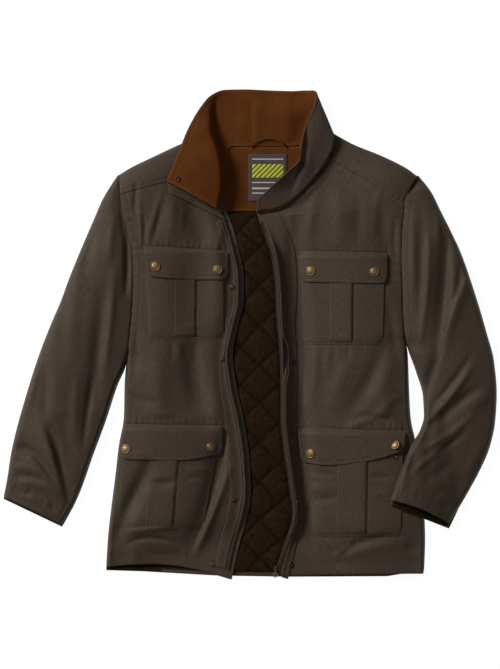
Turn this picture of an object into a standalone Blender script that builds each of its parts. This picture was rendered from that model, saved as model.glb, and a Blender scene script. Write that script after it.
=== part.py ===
"""Waxed cotton jacket, laid flat on its back with the fronts open.

Garment coordinates are millimetres: x runs across from the middle of the back neck, y runs up
from the hem and z runs up from the surface it lies on. "Right" and "left" are the wearer's, so
the right front lies at negative x. Cloth is a thin wall; its upper face follows a height
function made of rolled edges, a crown and a table of folds.
"""
import math
from collections import namedtuple

import bmesh
import bpy
import numpy as np
from mathutils import Matrix, Vector
from mathutils.bvhtree import BVHTree

# ---------------------------------------------------------------- driving dimensions (mm)
LAY_ORIGIN = (7.73, -437.59)    # from the garment's zero to the middle of the whole layout
GAP = 0.3                       # clearance between neighbouring pieces
CLOTH = 1.6                     # shell cloth with its lining
CORD_CLOTH = 1.8                # corduroy
BACK_TOP = CLOTH                # upper face of the back panel
REST = CLOTH + GAP              # lowest level of whatever lies on the back panel
CROWN = 27.0                    # height of the body where it is fullest
FRONT_DROP = 11.0               # how far a front sinks from the crown to its front edge
FRONT_REACH = 95.0              # over which distance it does so
HEM_DROP = 13.0                 # how far the body sinks towards the hem
HEM_REACH = 110.0
FRONT_LOWEST = 9.5              # fronts stay this high over the quilted lining
SOFT = 2.0                      # rounding of that lower limit
SIDE_ROLL = 34.0                # width of the roll at the side folds
SHOULDER_ROLL = 30.0            # width of the roll along the shoulder line
SLEEVE_CROWN = 33.0
SLEEVE_ROLL = 30.0
POCKET_CLOTH = 1.5              # patch pockets
PLEAT_RISE = 1.6                # how far a box pleat stands out of its pocket
FLAP_CLOTH = 1.6                # pocket flaps
FLAP_CLEAR = 3.6                # how far a flap stands off over its pocket
FLAP_FADE = 14.0                # over which distance from its seam it does so
BAND_CLOTH = 1.4                # placket band and storm flap
STORM_CURL = 3.2                # lift of the storm flap's free edge
TAPE_CLOTH = 1.2                # zip tapes and cuff lining
CAP_DIAMETER = 17.0             # snap caps
STUD_DIAMETER = 9.0             # studs and sockets down the fronts
FRONT_ROWS = 24
YOKE_ROWS = 6
SLEEVE_ROWS = 22
COLLAR_ROWS = 35
MM = 0.001

SOLIDS = {}                     # each finished solid, for resting later pieces on it

Section = namedtuple("Section", "out_x out_y in_x in_y")
Fold = namedtuple("Fold", "x0 y0 x1 y1 x2 y2 width height")
CollarSection = namedtuple("CollarSection", "neck_x neck_y neck_z top_x top_y top_z lift")
Pocket = namedtuple("Pocket", "name corners pleat")

# Front sections from the side fold or armhole (out) to the front edge or neckline (in), hem first.
RIGHT_FRONT = [
    Section(-266, 20, -41, -3),
    Section(-263, 70, -27, 60),
    Section(-257, 125, -13, 110),
    Section(-250, 180, -6, 155),
    Section(-243, 240, -10, 225),
    Section(-234, 290, -20, 290),
    Section(-233, 345, -33, 350),
    Section(-230, 385, -39, 400),
    Section(-224, 430, -30, 450),
    Section(-219, 485, -19, 500),
    Section(-217, 535, -19, 540),
    Section(-219, 590, -28, 590),
    Section(-228, 625, -38, 628),
    Section(-235, 652, -51, 663),
    Section(-239, 676, -66, 700),
    Section(-241, 690, -69, 735),
]
RIGHT_YOKE = [
    Section(-241, 690, -69, 735),
    Section(-242, 708, -70, 768),
    Section(-243, 725, -74, 802),
]
LEFT_FRONT = [
    Section(305, 8, 36, 4),
    Section(307, 70, 52, 55),
    Section(303, 150, 68, 115),
    Section(290, 245, 60, 180),
    Section(281, 285, 52, 235),
    Section(278, 340, 47, 290),
    Section(276, 400, 47, 350),
    Section(270, 440, 45, 410),
    Section(267, 480, 40, 460),
    Section(266, 525, 38, 510),
    Section(264, 572, 31, 575),
    Section(265, 607, 20, 610),
    Section(266, 630, 6, 655),
    Section(268, 648, 45, 664),
    Section(269, 660, 88, 692),
    Section(270, 675, 136, 755),
]
LEFT_YOKE = [
    Section(270, 675, 136, 755),
    Section(280, 700, 144, 778),
    Section(293, 722, 142, 800),
]

# Sleeve sections from the outer fold (out) to the inner fold or the armhole (in), cuff first.
RIGHT_SLEEVE = [
    Section(-451, 146, -346, 96),
    Section(-444, 180, -328, 124),
    Section(-438, 220, -311, 162),
    Section(-428, 265, -291, 219),
    Section(-412, 322, -268, 281),
    Section(-389, 395, -247, 345),
    Section(-366, 455, -231, 384),
    Section(-348, 497, -225, 430),
    Section(-333, 538, -220, 485),
    Section(-318, 575, -218, 535),
    Section(-302, 613, -220, 590),
    Section(-286, 650, -229, 625),
    Section(-273, 680, -236, 652),
    Section(-258, 705, -242, 690),
    Section(-247, 722, -243, 720),
]
LEFT_SLEEVE = [
    Section(350, 99, 243, 142),
    Section(368, 126, 253, 168),
    Section(386, 157, 267, 204),
    Section(405, 192, 282, 240),
    Section(423, 234, 298, 266),
    Section(433, 280, 305, 292),
    Section(436, 330, 304, 325),
    Section(431, 390, 291, 372),
    Section(418, 440, 275, 418),
    Section(406, 482, 268, 460),
    Section(394, 520, 267, 500),
    Section(382, 556, 266, 530),
    Section(370, 588, 265, 572),
    Section(354, 622, 266, 607),
    Section(334, 662, 270, 640),
    Section(318, 694, 277, 678),
    Section(299, 721, 292, 719),
]

# Collar sections from the neck seam to the top edge, from the right front corner, which is turned
# out so that its corduroy shows, round the back of the neck to the left front corner.
COLLAR = [
    CollarSection(-68, 664, 22, -156, 713, 35, 5),
    CollarSection(-66, 682, 22, -149, 731, 36, 7),
    CollarSection(-64, 700, 21, -141, 750, 36, 9),
    CollarSection(-62, 720, 19, -131, 775, 34, 10),
    CollarSection(-61, 738, 17, -120, 802, 29, 9),
    CollarSection(-60, 754, 14, -108, 826, 23, 6),
    CollarSection(-57, 766, 11, -95, 847, 18, 1),
    CollarSection(-51, 775, 7.5, -80, 865, 13, -3),
    CollarSection(-38, 776.5, 3.7, -54, 877, 6, 0),
    CollarSection(-10, 776.5, 3.7, -18, 878, 2.6, 4),
    CollarSection(30, 776.5, 3.7, 30, 876, 2.4, 5),
    CollarSection(70, 777, 3.7, 68, 875, 2.6, 5),
    CollarSection(108, 789, 7, 92, 876, 4, 3),
    CollarSection(130, 795, 9, 103, 876, 9, 1),
    CollarSection(139, 798, 14, 109, 874, 14, 0),
    CollarSection(142, 795, 21, 111, 869, 20, 2),
    CollarSection(143, 778, 28, 107, 848, 32, 4),
    CollarSection(133, 751, 31, 95, 822, 43, 6),
    CollarSection(108, 716, 31, 88, 799, 50, 6),
    CollarSection(82, 688, 29, 84, 780, 53, 6),
    CollarSection(62, 673, 28, 81, 752, 52, 5),
    CollarSection(46, 668, 26, 62, 732, 46, 4),
    CollarSection(24, 668, 25, 33, 705, 36, 2),
    CollarSection(3, 671, 24, 5, 679, 27, 0),
]

# Folds: a curve through three points, its half width, and its height (a trough is negative).
RIGHT_FRONT_FOLDS = [
    Fold(-58, 655, -66, 540, -62, 400, 11, -5),
    Fold(-62, 400, -66, 300, -58, 215, 11, -6),
    Fold(-56, 240, -84, 130, -124, 24, 16, -9),
    Fold(-180, 210, -212, 145, -256, 50, 18, -9),
    Fold(-158, 700, -186, 630, -196, 560, 12, 4),
    Fold(-100, 680, -128, 620, -146, 560, 12, 4),
    Fold(-110, 330, -95, 300, -90, 260, 16, 4),
    Fold(-216, 70, -172, 80, -128, 58, 11, -5),
    Fold(-200, 500, -192, 420, -205, 330, 16, 3),
]
LEFT_FRONT_FOLDS = [
    Fold(58, 668, 66, 590, 68, 430, 12, -8),
    Fold(68, 450, 78, 260, 80, 20, 14, -9),
    Fold(120, 700, 96, 640, 92, 560, 12, 3),
    Fold(205, 700, 236, 640, 248, 520, 16, -5),
    Fold(150, 700, 160, 640, 150, 580, 16, 3),
    Fold(152, 42, 200, 68, 262, 82, 12, -6),
    Fold(178, 282, 205, 292, 244, 270, 10, -4),
    Fold(240, 420, 225, 360, 235, 290, 16, 3),
]
RIGHT_SLEEVE_FOLDS = [
    Fold(-384, 290, -358, 205, -334, 118, 15, -12),
    Fold(-352, 480, -338, 390, -352, 290, 17, -8),
    Fold(-268, 580, -282, 420, -302, 240, 18, -8),
    Fold(-436, 226, -396, 222, -372, 190, 10, -6),
    Fold(-436, 176, -400, 172, -368, 165, 9, 3),
    Fold(-405, 330, -392, 290, -398, 250, 12, 4),
]
LEFT_SLEEVE_FOLDS = [
    Fold(342, 625, 356, 500, 312, 346, 15, -16),
    Fold(304, 710, 312, 560, 290, 430, 14, -10),
    Fold(326, 640, 322, 560, 322, 480, 10, 4),
    Fold(392, 420, 345, 352, 312, 312, 10, -7),
    Fold(420, 360, 380, 320, 318, 280, 10, 5),
    Fold(432, 310, 380, 285, 300, 240, 10, -7),
    Fold(420, 262, 360, 248, 290, 214, 10, 5),
]

# Pockets: outline corners from the top left round to the bottom left, and the pleat's two edges
# as (top x, bottom x) pairs.
POCKETS = [
    Pocket("chest_pocket_right", [(-197, 574), (-55, 574), (-55, 430), (-190, 430)],
           [(-142, -142), (-105, -107)]),
    Pocket("chest_pocket_left", [(86, 566), (234, 566), (230, 420), (88, 420)],
           [(137, 136), (176, 175)]),
    Pocket("lower_pocket_right", [(-236, 254), (-62, 254), (-92, 88), (-250, 94)],
           [(-184, -195), (-134, -148)]),
    Pocket("lower_pocket_left", [(86, 246), (268, 246), (262, 76), (90, 76)],
           [(150, 149), (203, 199)]),
]
# Flaps: top seam ends, then the lower edge; corners are rounded.
FLAPS = {
    "chest_flap_right": [(-198, 596), (-47, 588), (-48, 536), (-98, 536), (-190, 541)],
    "chest_flap_left": [(79, 588), (238, 584), (237, 529), (180, 530), (83, 532)],
    "lower_flap_right": [(-232, 277), (-58, 274), (-58, 222), (-135, 212), (-240, 214)],
    "lower_flap_left": [(78, 270), (271, 264), (268, 229), (205, 211), (130, 203), (84, 208)],
}
FLAP_CAPS = [
    ("cap_1", -177, 560), ("cap_2", -66, 554), ("cap_3", 101, 552), ("cap_4", 215, 550),
    ("cap_5", -230, 233), ("cap_6", -78, 236), ("cap_7", 101, 224), ("cap_8", 252, 240),
]
LINING = dict(x0=-110.0, x1=150.0, y0=12.0, y1=655.0, diamond=66.0, puff=2.2, base=2.2)
FACING = dict(x0=-64.0, x1=118.0, y0=660.0, y1=773.5)
LABEL = dict(x0=-10.0, x1=58.0, y0=678.0, y1=762.0, thick=0.9)
LOOP = dict(x=27.0, y=772.0, half=28.0, reach=11.0, rise=6.5, width=2.4, thick=1.0)
BADGE = [(337, 636), (360, 640), (364, 614), (341, 610)]
# Snap studs and sockets and the pieces they are set on.
STUDS = [
    ("stud_1", -40, 523, "placket_right"),
    ("stud_2", -58, 393, "placket_right"),
    ("stud_3", -37, 140, "placket_right"),
    ("stud_4", -74, 24, "front_right"),
    ("socket_1", 68, 390, "storm_flap_left"),
    ("socket_2", 66, 262, "storm_flap_left"),
    ("socket_3", 78, 137, "storm_flap_left"),
    ("socket_4", 66, 24, "storm_flap_left"),
    ("collar_snap", -137, 716, "collar_corduroy"),
    ("pocket_socket", 252, 219, "lower_pocket_left"),
]
# Distances from a section's ends at which the columns of a panel lie.
FRONT_NEAR = [0, 1.5, 5, 12, 22, 36]
RIGHT_FAR = [0, 7, 12, 15, 38]
LEFT_FAR = [0, 6, 8, 22, 44]
SLEEVE_NEAR = [0, 1.5, 5, 12, 22]
# How far a band reaches in from the front edge, as (height above the hem, distance) pairs.
PLACKET_INNER = [(0, 34), (240, 38), (300, 32), (380, 26), (430, 19), (460, 24), (540, 28), (700, 24)]
PLACKET_FREE = [(0, 14.5), (700, 14.5)]
STORM_INNER = [(0, 26), (100, 20), (200, 24), (330, 30), (430, 32), (520, 40), (590, 44), (655, 38)]
STORM_FREE = [(3, 13), (40, 9), (110, 8), (330, 8), (378, 15), (405, 15), (440, 8), (660, 8)]
SLIDER = dict(x=38.0, y=17.0, width=8.0, length=11.0, tall=2.6, bevel=0.5)
PIN = dict(back=2.5, rise=2.9, radius=0.6)
EAR = dict(near=1.5, far=2.6, half=1.3, over=1.1)
PULL = dict(eye=1.7, wire=0.7, neck=3.2, ring=4.0)

COLOURS = {
    "shell": ((0.055, 0.040, 0.026), 0.55, 0.0),
    "shell_light": ((0.065, 0.048, 0.032), 0.55, 0.0),
    "corduroy": ((0.115, 0.042, 0.012), 0.85, 0.0),
    "lining": ((0.020, 0.012, 0.006), 0.75, 0.0),
    "brass": ((0.42, 0.32, 0.16), 0.35, 1.0),
    "label": ((0.10, 0.09, 0.10), 0.8, 0.0),
    "patch": ((0.09, 0.035, 0.02), 0.8, 0.0),
    "tape": ((0.045, 0.025, 0.015), 0.8, 0.0),
}


# ---------------------------------------------------------------- curves and heights
def flow(keys, values, at):
    """Monotone cubic curve through (keys, values), read at one value or an array."""
    keys = np.asarray(keys, float)
    values = np.asarray(values, float)
    step = np.diff(keys)
    rise = np.diff(values) / step
    slope = np.empty_like(values)
    slope[0] = rise[0]
    slope[-1] = rise[-1]
    before, after = rise[:-1], rise[1:]
    same_way = before * after > 0
    total = np.where(same_way, before + after, 1.0)
    slope[1:-1] = np.where(same_way, 2 * before * after / total, 0.0)
    at = np.clip(at, keys[0], keys[-1])
    i = np.clip(np.searchsorted(keys, at) - 1, 0, len(step) - 1)
    t = (at - keys[i]) / step[i]
    return (values[i] * (1 + 2 * t) * (1 - t) ** 2 + slope[i] * step[i] * t * (1 - t) ** 2
            + values[i + 1] * t * t * (3 - 2 * t) + slope[i + 1] * step[i] * t * t * (t - 1))


def ease(q):
    q = np.clip(q, 0.0, 1.0)
    return q * q * (3 - 2 * q)


def roll(q):
    """Quarter-round rise from 0 at an edge to 1 where the roll ends."""
    q = np.clip(q, 0.0, 1.0)
    return np.sqrt(1 - (1 - q) ** 2)


def fold_height(folds, x, y):
    """Sum of the soft ridges and troughs of a fold table at the points x, y."""
    total = np.zeros_like(np.asarray(x, float))
    for fold in folds:
        steps = np.linspace(0, 1, 9)
        cx = (1 - steps) ** 2 * fold.x0 + 2 * steps * (1 - steps) * fold.x1 + steps ** 2 * fold.x2
        cy = (1 - steps) ** 2 * fold.y0 + 2 * steps * (1 - steps) * fold.y1 + steps ** 2 * fold.y2
        nearest = np.full_like(total, 1e9)
        along = np.zeros_like(total)
        for k in range(len(steps) - 1):
            dx, dy = cx[k + 1] - cx[k], cy[k + 1] - cy[k]
            t = np.clip(((x - cx[k]) * dx + (y - cy[k]) * dy) / (dx * dx + dy * dy), 0, 1)
            gap = np.hypot(x - cx[k] - t * dx, y - cy[k] - t * dy)
            closer = gap < nearest
            nearest = np.where(closer, gap, nearest)
            along = np.where(closer, (k + t) / (len(steps) - 1), along)
        total += fold.height * np.exp(-(nearest / fold.width) ** 2) * np.sin(math.pi * along) ** 0.7
    return total


def column(table, name):
    return [getattr(row, name) for row in table]


class Front:
    """Height function of one front with its yoke."""

    def __init__(self, front, yoke, folds, armhole_z, armpit_y, shoulder):
        rows = front + yoke[1:]
        self.side_y, self.side_x = column(rows, "out_y"), column(rows, "out_x")
        self.edge_y, self.edge_x = column(rows, "in_y"), column(rows, "in_x")
        self.folds = folds
        self.armhole_z = armhole_z
        self.armpit_y = armpit_y
        self.shoulder = sorted(shoulder)

    def height(self, x, y):
        x, y = np.asarray(x, float), np.asarray(y, float)
        side_gap = np.abs(x - flow(self.side_y, self.side_x, y))
        order = np.argsort(self.edge_y)
        edge = flow(np.asarray(self.edge_y, float)[order], np.asarray(self.edge_x, float)[order], y)
        edge_gap = np.abs(x - edge)
        top = flow([p[0] for p in self.shoulder], [p[1] for p in self.shoulder], x)
        side_z = REST + (self.armhole_z - REST) * ease((y - self.armpit_y) / 60 + 0.5)
        side = side_z + (CROWN - side_z) * roll(side_gap / SIDE_ROLL)
        shoulder = roll((top - y) / SHOULDER_ROLL)
        z = REST + (side - REST) * shoulder
        z -= FRONT_DROP * ease(1 - edge_gap / FRONT_REACH) * roll(side_gap / SIDE_ROLL) * shoulder
        z -= HEM_DROP * ease(1 - (y - 5) / HEM_REACH) * roll(side_gap / SIDE_ROLL)
        z += fold_height(self.folds, x, y) * roll(side_gap / 25) * shoulder
        low = REST + (FRONT_LOWEST - REST) * roll(side_gap / SIDE_ROLL) * shoulder
        return low + SOFT * np.logaddexp(0, (z - low) / SOFT) - SOFT * np.logaddexp(0, (REST - low) / SOFT)


RIGHT = Front(RIGHT_FRONT, RIGHT_YOKE, RIGHT_FRONT_FOLDS, 17.0, 392,
              [(-243, 725), (-224, 737), (-179, 759), (-134, 780), (-100, 794), (-74, 802)])
LEFT = Front(LEFT_FRONT, LEFT_YOKE, LEFT_FRONT_FOLDS, 9.0, 418,
             [(293, 724), (274, 737), (230, 759), (176, 781), (142, 800)])


# ---------------------------------------------------------------- meshes
def material(slot):
    name = "jacket_" + slot
    if name in bpy.data.materials:
        return bpy.data.materials[name]
    colour, roughness, metallic = COLOURS[slot]
    made = bpy.data.materials.new(name)
    made.use_nodes = True
    shader = made.node_tree.nodes["Principled BSDF"]
    shader.inputs["Base Color"].default_value = (*colour, 1.0)
    shader.inputs["Roughness"].default_value = roughness
    shader.inputs["Metallic"].default_value = metallic
    return made


def add_object(name, bm, slot):
    """Turn a bmesh in garment millimetres into a named object in metres."""
    SOLIDS[name] = BVHTree.FromBMesh(bm)
    for vert in bm.verts:
        vert.co = Vector((vert.co.x + LAY_ORIGIN[0], vert.co.y + LAY_ORIGIN[1], vert.co.z)) * MM
    bmesh.ops.recalc_face_normals(bm, faces=bm.faces)
    if bm.calc_volume(signed=True) < 0:
        bmesh.ops.reverse_faces(bm, faces=bm.faces)
    mesh = bpy.data.meshes.new(name)
    bm.to_mesh(mesh)
    bm.free()
    mesh.shade_smooth()
    mesh.set_sharp_from_angle(angle=math.radians(50))
    mesh.materials.append(material(slot))
    made = bpy.data.objects.new(name, mesh)
    bpy.context.scene.collection.objects.link(made)
    return made


def wall(name, outer, inner, slot):
    """Closed wall between two grids of points with the same rows and columns."""
    rows, cols = outer.shape[:2]
    bm = bmesh.new()
    skins = []
    for grid in (outer, inner):
        skins.append([[bm.verts.new(grid[r, c]) for c in range(cols)] for r in range(rows)])
    for skin, flip in zip(skins, (False, True)):
        for r in range(rows - 1):
            for c in range(cols - 1):
                a, b, d, e = skin[r][c], skin[r][c + 1], skin[r + 1][c + 1], skin[r + 1][c]
                for tri in ((a, b, d), (a, d, e)):
                    bm.faces.new(tri[::-1] if flip else tri)
    border = [(0, c) for c in range(cols - 1)] + [(r, cols - 1) for r in range(rows - 1)]
    border += [(rows - 1, c) for c in range(cols - 1, 0, -1)] + [(r, 0) for r in range(rows - 1, 0, -1)]
    for k, here in enumerate(border):
        there = border[(k + 1) % len(border)]
        a, b = skins[0][here[0]][here[1]], skins[0][there[0]][there[1]]
        d, e = skins[1][there[0]][there[1]], skins[1][here[0]][here[1]]
        bm.faces.new((a, e, d))
        bm.faces.new((a, d, b))
    return add_object(name, bm, slot)


def section_points(table, rows):
    """Evenly spaced sections read from smooth curves through a section table."""
    data = np.array([tuple(row)[:4] for row in table], float)
    reach = np.linalg.norm(np.diff(data[:, :2], axis=0), axis=1)
    reach += np.linalg.norm(np.diff(data[:, 2:], axis=0), axis=1)
    place = np.concatenate([[0], np.cumsum(reach)])
    at = np.linspace(0, place[-1], rows)
    read = [flow(place, data[:, k], at) for k in range(4)]
    return np.stack(read[:2], axis=1), np.stack(read[2:], axis=1)


def across(out, inner, near, far, middle):
    """Grid of plan points: fixed distances near each end of a section, even steps between."""
    grid = []
    for a, b in zip(out, inner):
        width = np.linalg.norm(b - a)
        scale = min(1.0, 0.8 * width / max(near[-1] + far[-1], 1.0))
        start = np.array(near) * scale / width
        end = 1 - np.array(far[::-1]) * scale / width
        between = np.linspace(start[-1], end[0], middle + 2)[1:-1]
        share = np.concatenate([start, between, end])
        grid.append(a + (b - a) * share[:, None])
    return np.array(grid)


def slopes(height, x, y, step=0.6, most=2.5):
    """Unit normals of a height function, with its slope held below a limit."""
    gx = (height(x + step, y) - height(x - step, y)) / (2 * step)
    gy = (height(x, y + step) - height(x, y - step)) / (2 * step)
    steep = np.maximum(1.0, np.hypot(gx, gy) / most)
    normal = np.stack([-gx / steep, -gy / steep, np.ones_like(gx)], axis=-1)
    return normal / np.linalg.norm(normal, axis=-1, keepdims=True)


def panel(name, plan, height, slot="shell", thick=CLOTH, lowest=REST):
    """Wall of cloth whose upper face is the height function over a grid of plan points."""
    x, y = plan[..., 0], plan[..., 1]
    outer = np.stack([x, y, height(x, y)], axis=-1)
    inner = outer - slopes(height, x, y) * thick
    inner[..., 2] = np.maximum(inner[..., 2], lowest)
    wall(name, outer, inner, slot)
    return outer


def band(name, surface, rows, cols, lift, thick, slot):
    """Strip made from some rows and columns of a panel's points, moved out."""
    points = surface[rows, cols]
    inner = points + np.array([0, 0, lift])
    outer = points + np.array([0, 0, lift + thick])
    return wall(name, outer, inner, slot)


ROUND_STEPS = 3


def rounded(corners, radius, steps=ROUND_STEPS):
    """Convex outline with its corners rounded."""
    points = []
    count = len(corners)
    for k in range(count):
        here = np.array(corners[k], float)
        before = np.array(corners[k - 1], float) - here
        after = np.array(corners[(k + 1) % count], float) - here
        cut = min(radius, np.linalg.norm(before) / 2.2, np.linalg.norm(after) / 2.2)
        a = here + before / np.linalg.norm(before) * cut
        b = here + after / np.linalg.norm(after) * cut
        for t in np.linspace(0, 1, steps):
            points.append((1 - t) ** 2 * a + 2 * t * (1 - t) * here + t * t * b)
    return points


def clip_surface(surface, outline, cuts=()):
    """The part of a panel's upper face inside a clockwise convex outline, also cut along lines."""
    rows, cols = surface.shape[:2]
    bm = bmesh.new()
    grid = [[bm.verts.new(surface[r, c]) for c in range(cols)] for r in range(rows)]
    for r in range(rows - 1):
        for c in range(cols - 1):
            a, b, d, e = grid[r][c], grid[r][c + 1], grid[r + 1][c + 1], grid[r + 1][c]
            bm.faces.new((a, b, d))
            bm.faces.new((a, d, e))
    middle = np.mean(outline, axis=0)
    for k, start in enumerate(outline):
        stop = outline[(k + 1) % len(outline)]
        run = np.array(stop) - np.array(start)
        if np.linalg.norm(run) < 0.01:
            continue
        out = Vector((run[1], -run[0], 0)).normalized()
        if out.dot(Vector((*(np.array(start) - middle), 0))) < 0:
            out = -out
        geom = bm.verts[:] + bm.edges[:] + bm.faces[:]
        bmesh.ops.bisect_plane(bm, geom=geom, dist=1e-4, plane_co=(*start, 0), plane_no=out,
                               clear_outer=True)
    for start, stop in cuts:
        run = Vector((stop[0] - start[0], stop[1] - start[1], 0))
        geom = bm.verts[:] + bm.edges[:] + bm.faces[:]
        bmesh.ops.bisect_plane(bm, geom=geom, dist=1e-4, plane_co=(*start, 0),
                               plane_no=(run.y, -run.x, 0))
    return bm


def patch(name, surface, outline, lift, thick, slot, cuts=(), raised=None):
    """Piece lying on a panel: the panel's own faces inside the outline, moved out."""
    bm = clip_surface(surface, outline, cuts)
    bmesh.ops.remove_doubles(bm, verts=bm.verts, dist=0.05)
    under = list(bm.verts)
    faces = list(bm.faces)
    border = [edge for edge in bm.edges if edge.is_boundary]
    over = {}
    for vert in under:
        x, y, z = vert.co
        base = z + lift(x, y)
        extra = raised(x, y) if raised else 0.0
        over[vert] = bm.verts.new((x, y, base + thick + extra))
        vert.co.z = base
    for face in faces:
        bm.faces.new([over[vert] for vert in face.verts])
    for edge in border:
        a, b = edge.verts
        bm.faces.new((a, b, over[b], over[a]))
    bmesh.ops.triangulate(bm, faces=bm.faces)
    return add_object(name, bm, slot)


def top_at(names, x, y):
    """Height of the highest named solid under a plan point, or 0 on the bare surface."""
    best = 0.0
    for name in names:
        hit = SOLIDS[name].ray_cast(Vector((x, y, 300)), Vector((0, 0, -1)))[0]
        if hit is not None:
            best = max(best, hit.z)
    return best


def tent_at(names, x, y, flat=12.0, reach=34.0, fall=0.8):
    """Height of a cloth stretched over the named solids near a plan point."""
    best = top_at(names, x, y)
    for radius in (flat / 2, flat, (flat + reach) / 2, reach):
        for k in range(8):
            turn = k * math.tau / 8
            near = top_at(names, x + radius * math.cos(turn), y + radius * math.sin(turn))
            if near > 0:
                best = max(best, near - fall * max(0.0, radius - flat))
    return best


def grid_normals(points):
    """Unit normals of a grid of points, by differences along rows and columns."""
    normal = np.cross(np.gradient(points, axis=0), np.gradient(points, axis=1))
    normal /= np.linalg.norm(normal, axis=-1, keepdims=True)
    return normal


# ---------------------------------------------------------------- body
def bow_hem(plan, bow, fade_rows):
    """Lift the middle of the first rows, as a hem that rides up."""
    width = np.linalg.norm(plan[:, -1] - plan[:, 0], axis=-1, keepdims=True)
    share = np.linalg.norm(plan - plan[:, :1], axis=-1) / width
    fade = np.clip(1 - np.arange(len(plan)) / fade_rows, 0, 1)[:, None]
    plan[..., 1] += bow * np.sin(math.pi * share) * fade


def make_back(sleeve_ends):
    """Flat back panel; its armholes share the under sleeves' seam points."""
    outline = []
    for front, ends, turn in ((RIGHT, sleeve_ends[0], 1), (LEFT, sleeve_ends[1], -1)):
        low = [y for y in front.side_y if y < front.armpit_y - 6]
        side = [(float(flow(front.side_y, front.side_x, y)), y) for y in low]
        side += [(float(flow(front.side_y, front.side_x, p[1])), p[1])
                 for p in ends if p[1] > front.armpit_y]
        outline.append([(x + turn * GAP, y) for x, y in side])
    neck = [(-74, 801), (-66, 787), (-50, 779), (-20, 777), (60, 777), (110, 780), (132, 788),
            (142, 799)]
    right_shoulder = [(-224, 736), (-179, 758), (-134, 779), (-100, 793)]
    left_shoulder = [(176, 780), (230, 758), (274, 736)]
    points = outline[0] + right_shoulder + neck + left_shoulder + outline[1][::-1]
    points += [(240, 3), (60, 2), (-60, 4), (-200, 12)]
    bm = bmesh.new()
    lower = bm.faces.new([bm.verts.new((x, y, 0)) for x, y in points])
    raised = bmesh.ops.extrude_face_region(bm, geom=[lower])
    for item in raised["geom"]:
        if isinstance(item, bmesh.types.BMVert):
            item.co.z = BACK_TOP
    bmesh.ops.triangulate(bm, faces=bm.faces)
    add_object("back", bm, "shell")


def slab(name, xs, ys, top, under, slot):
    """Piece with a shaped upper face over a plain flat one."""
    bm = bmesh.new()
    grid = [[bm.verts.new((x, y, top(x, y))) for x in xs] for y in ys]
    rows, cols = len(ys), len(xs)
    for r in range(rows - 1):
        for c in range(cols - 1):
            a, b, d, e = grid[r][c], grid[r][c + 1], grid[r + 1][c + 1], grid[r + 1][c]
            if (r + c) % 2:
                bm.faces.new((a, b, d))
                bm.faces.new((a, d, e))
            else:
                bm.faces.new((a, b, e))
                bm.faces.new((b, d, e))
    border = grid[0] + [grid[r][-1] for r in range(1, rows)]
    border += grid[-1][-2::-1] + [grid[r][0] for r in range(rows - 2, 0, -1)]
    low = [bm.verts.new((v.co.x, v.co.y, under)) for v in border]
    for k in range(len(border)):
        n = (k + 1) % len(border)
        bm.faces.new((border[k], low[k], low[n], border[n]))
    bm.faces.new(low[::-1])
    bmesh.ops.triangulate(bm, faces=bm.faces)
    add_object(name, bm, slot)


def make_inside():
    """Quilted lining, corduroy neck facing, label and hanger loop."""
    size = LINING["diamond"]
    xs = np.arange(LINING["x0"], LINING["x1"], size / 4)
    ys = np.arange(LINING["y1"], LINING["y0"], -size / 4)[::-1]

    def quilt(x, y):
        u, v = x - LINING["x0"], y - ys[0]
        puff = abs(math.sin(math.pi * (u + v) / size) * math.sin(math.pi * (u - v) / size))
        return REST + LINING["base"] + LINING["puff"] * puff ** 0.6

    slab("back_lining", xs, ys, quilt, REST, "lining")
    facing_top = REST + CORD_CLOTH
    slab("neck_facing", np.linspace(FACING["x0"], FACING["x1"], 3),
         np.linspace(FACING["y0"], FACING["y1"], 3), lambda x, y: facing_top, REST, "corduroy")
    label_low = facing_top + GAP
    slab("label", np.linspace(LABEL["x0"], LABEL["x1"], 2), np.linspace(LABEL["y0"], LABEL["y1"], 2),
         lambda x, y: label_low + LABEL["thick"], label_low, "label")
    steps = np.linspace(0, math.pi, 13)
    path = np.stack([LOOP["x"] - LOOP["half"] * np.cos(steps),
                     LOOP["y"] + LOOP["reach"] * np.sin(steps) ** 1.4,
                     facing_top + GAP + LOOP["rise"] * np.sin(steps) ** 0.35], axis=-1)
    half_width = LOOP["width"] / 2
    tape = np.stack([path - np.array([0, half_width, 0]), path + np.array([0, half_width, 0])], axis=1)
    wall("hanger_loop", tape + np.array([0, 0, LOOP["thick"]]), tape, "lining")


def along_row(row, reach):
    """Point on a row of panel points, a distance in from its front end."""
    for a, b in zip(row[::-1], row[-2::-1]):
        step = np.linalg.norm((b - a)[:2])
        if reach <= step:
            return a + (b - a) * reach / step
        reach -= step
    return row[0]


def folded_strip(name, rows, inner, free, steps, curl):
    """Strip lying on a front between two distances from its edge, its free edge curled up."""
    low = []
    for row in rows:
        reach = [float(flow(*zip(*table), row[-1][1])) for table in (inner, free)]
        points = [along_row(row, d) for d in np.linspace(reach[0], reach[1], steps + 1)]
        rise = curl * np.linspace(0, 1, steps + 1) ** 1.5 + GAP + 0.5
        low.append([p + np.array([0, 0, r]) for p, r in zip(points, rise)])
    low = np.array(low)
    wall(name, low + np.array([0, 0, BAND_CLOTH]), low, "shell_light")


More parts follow.
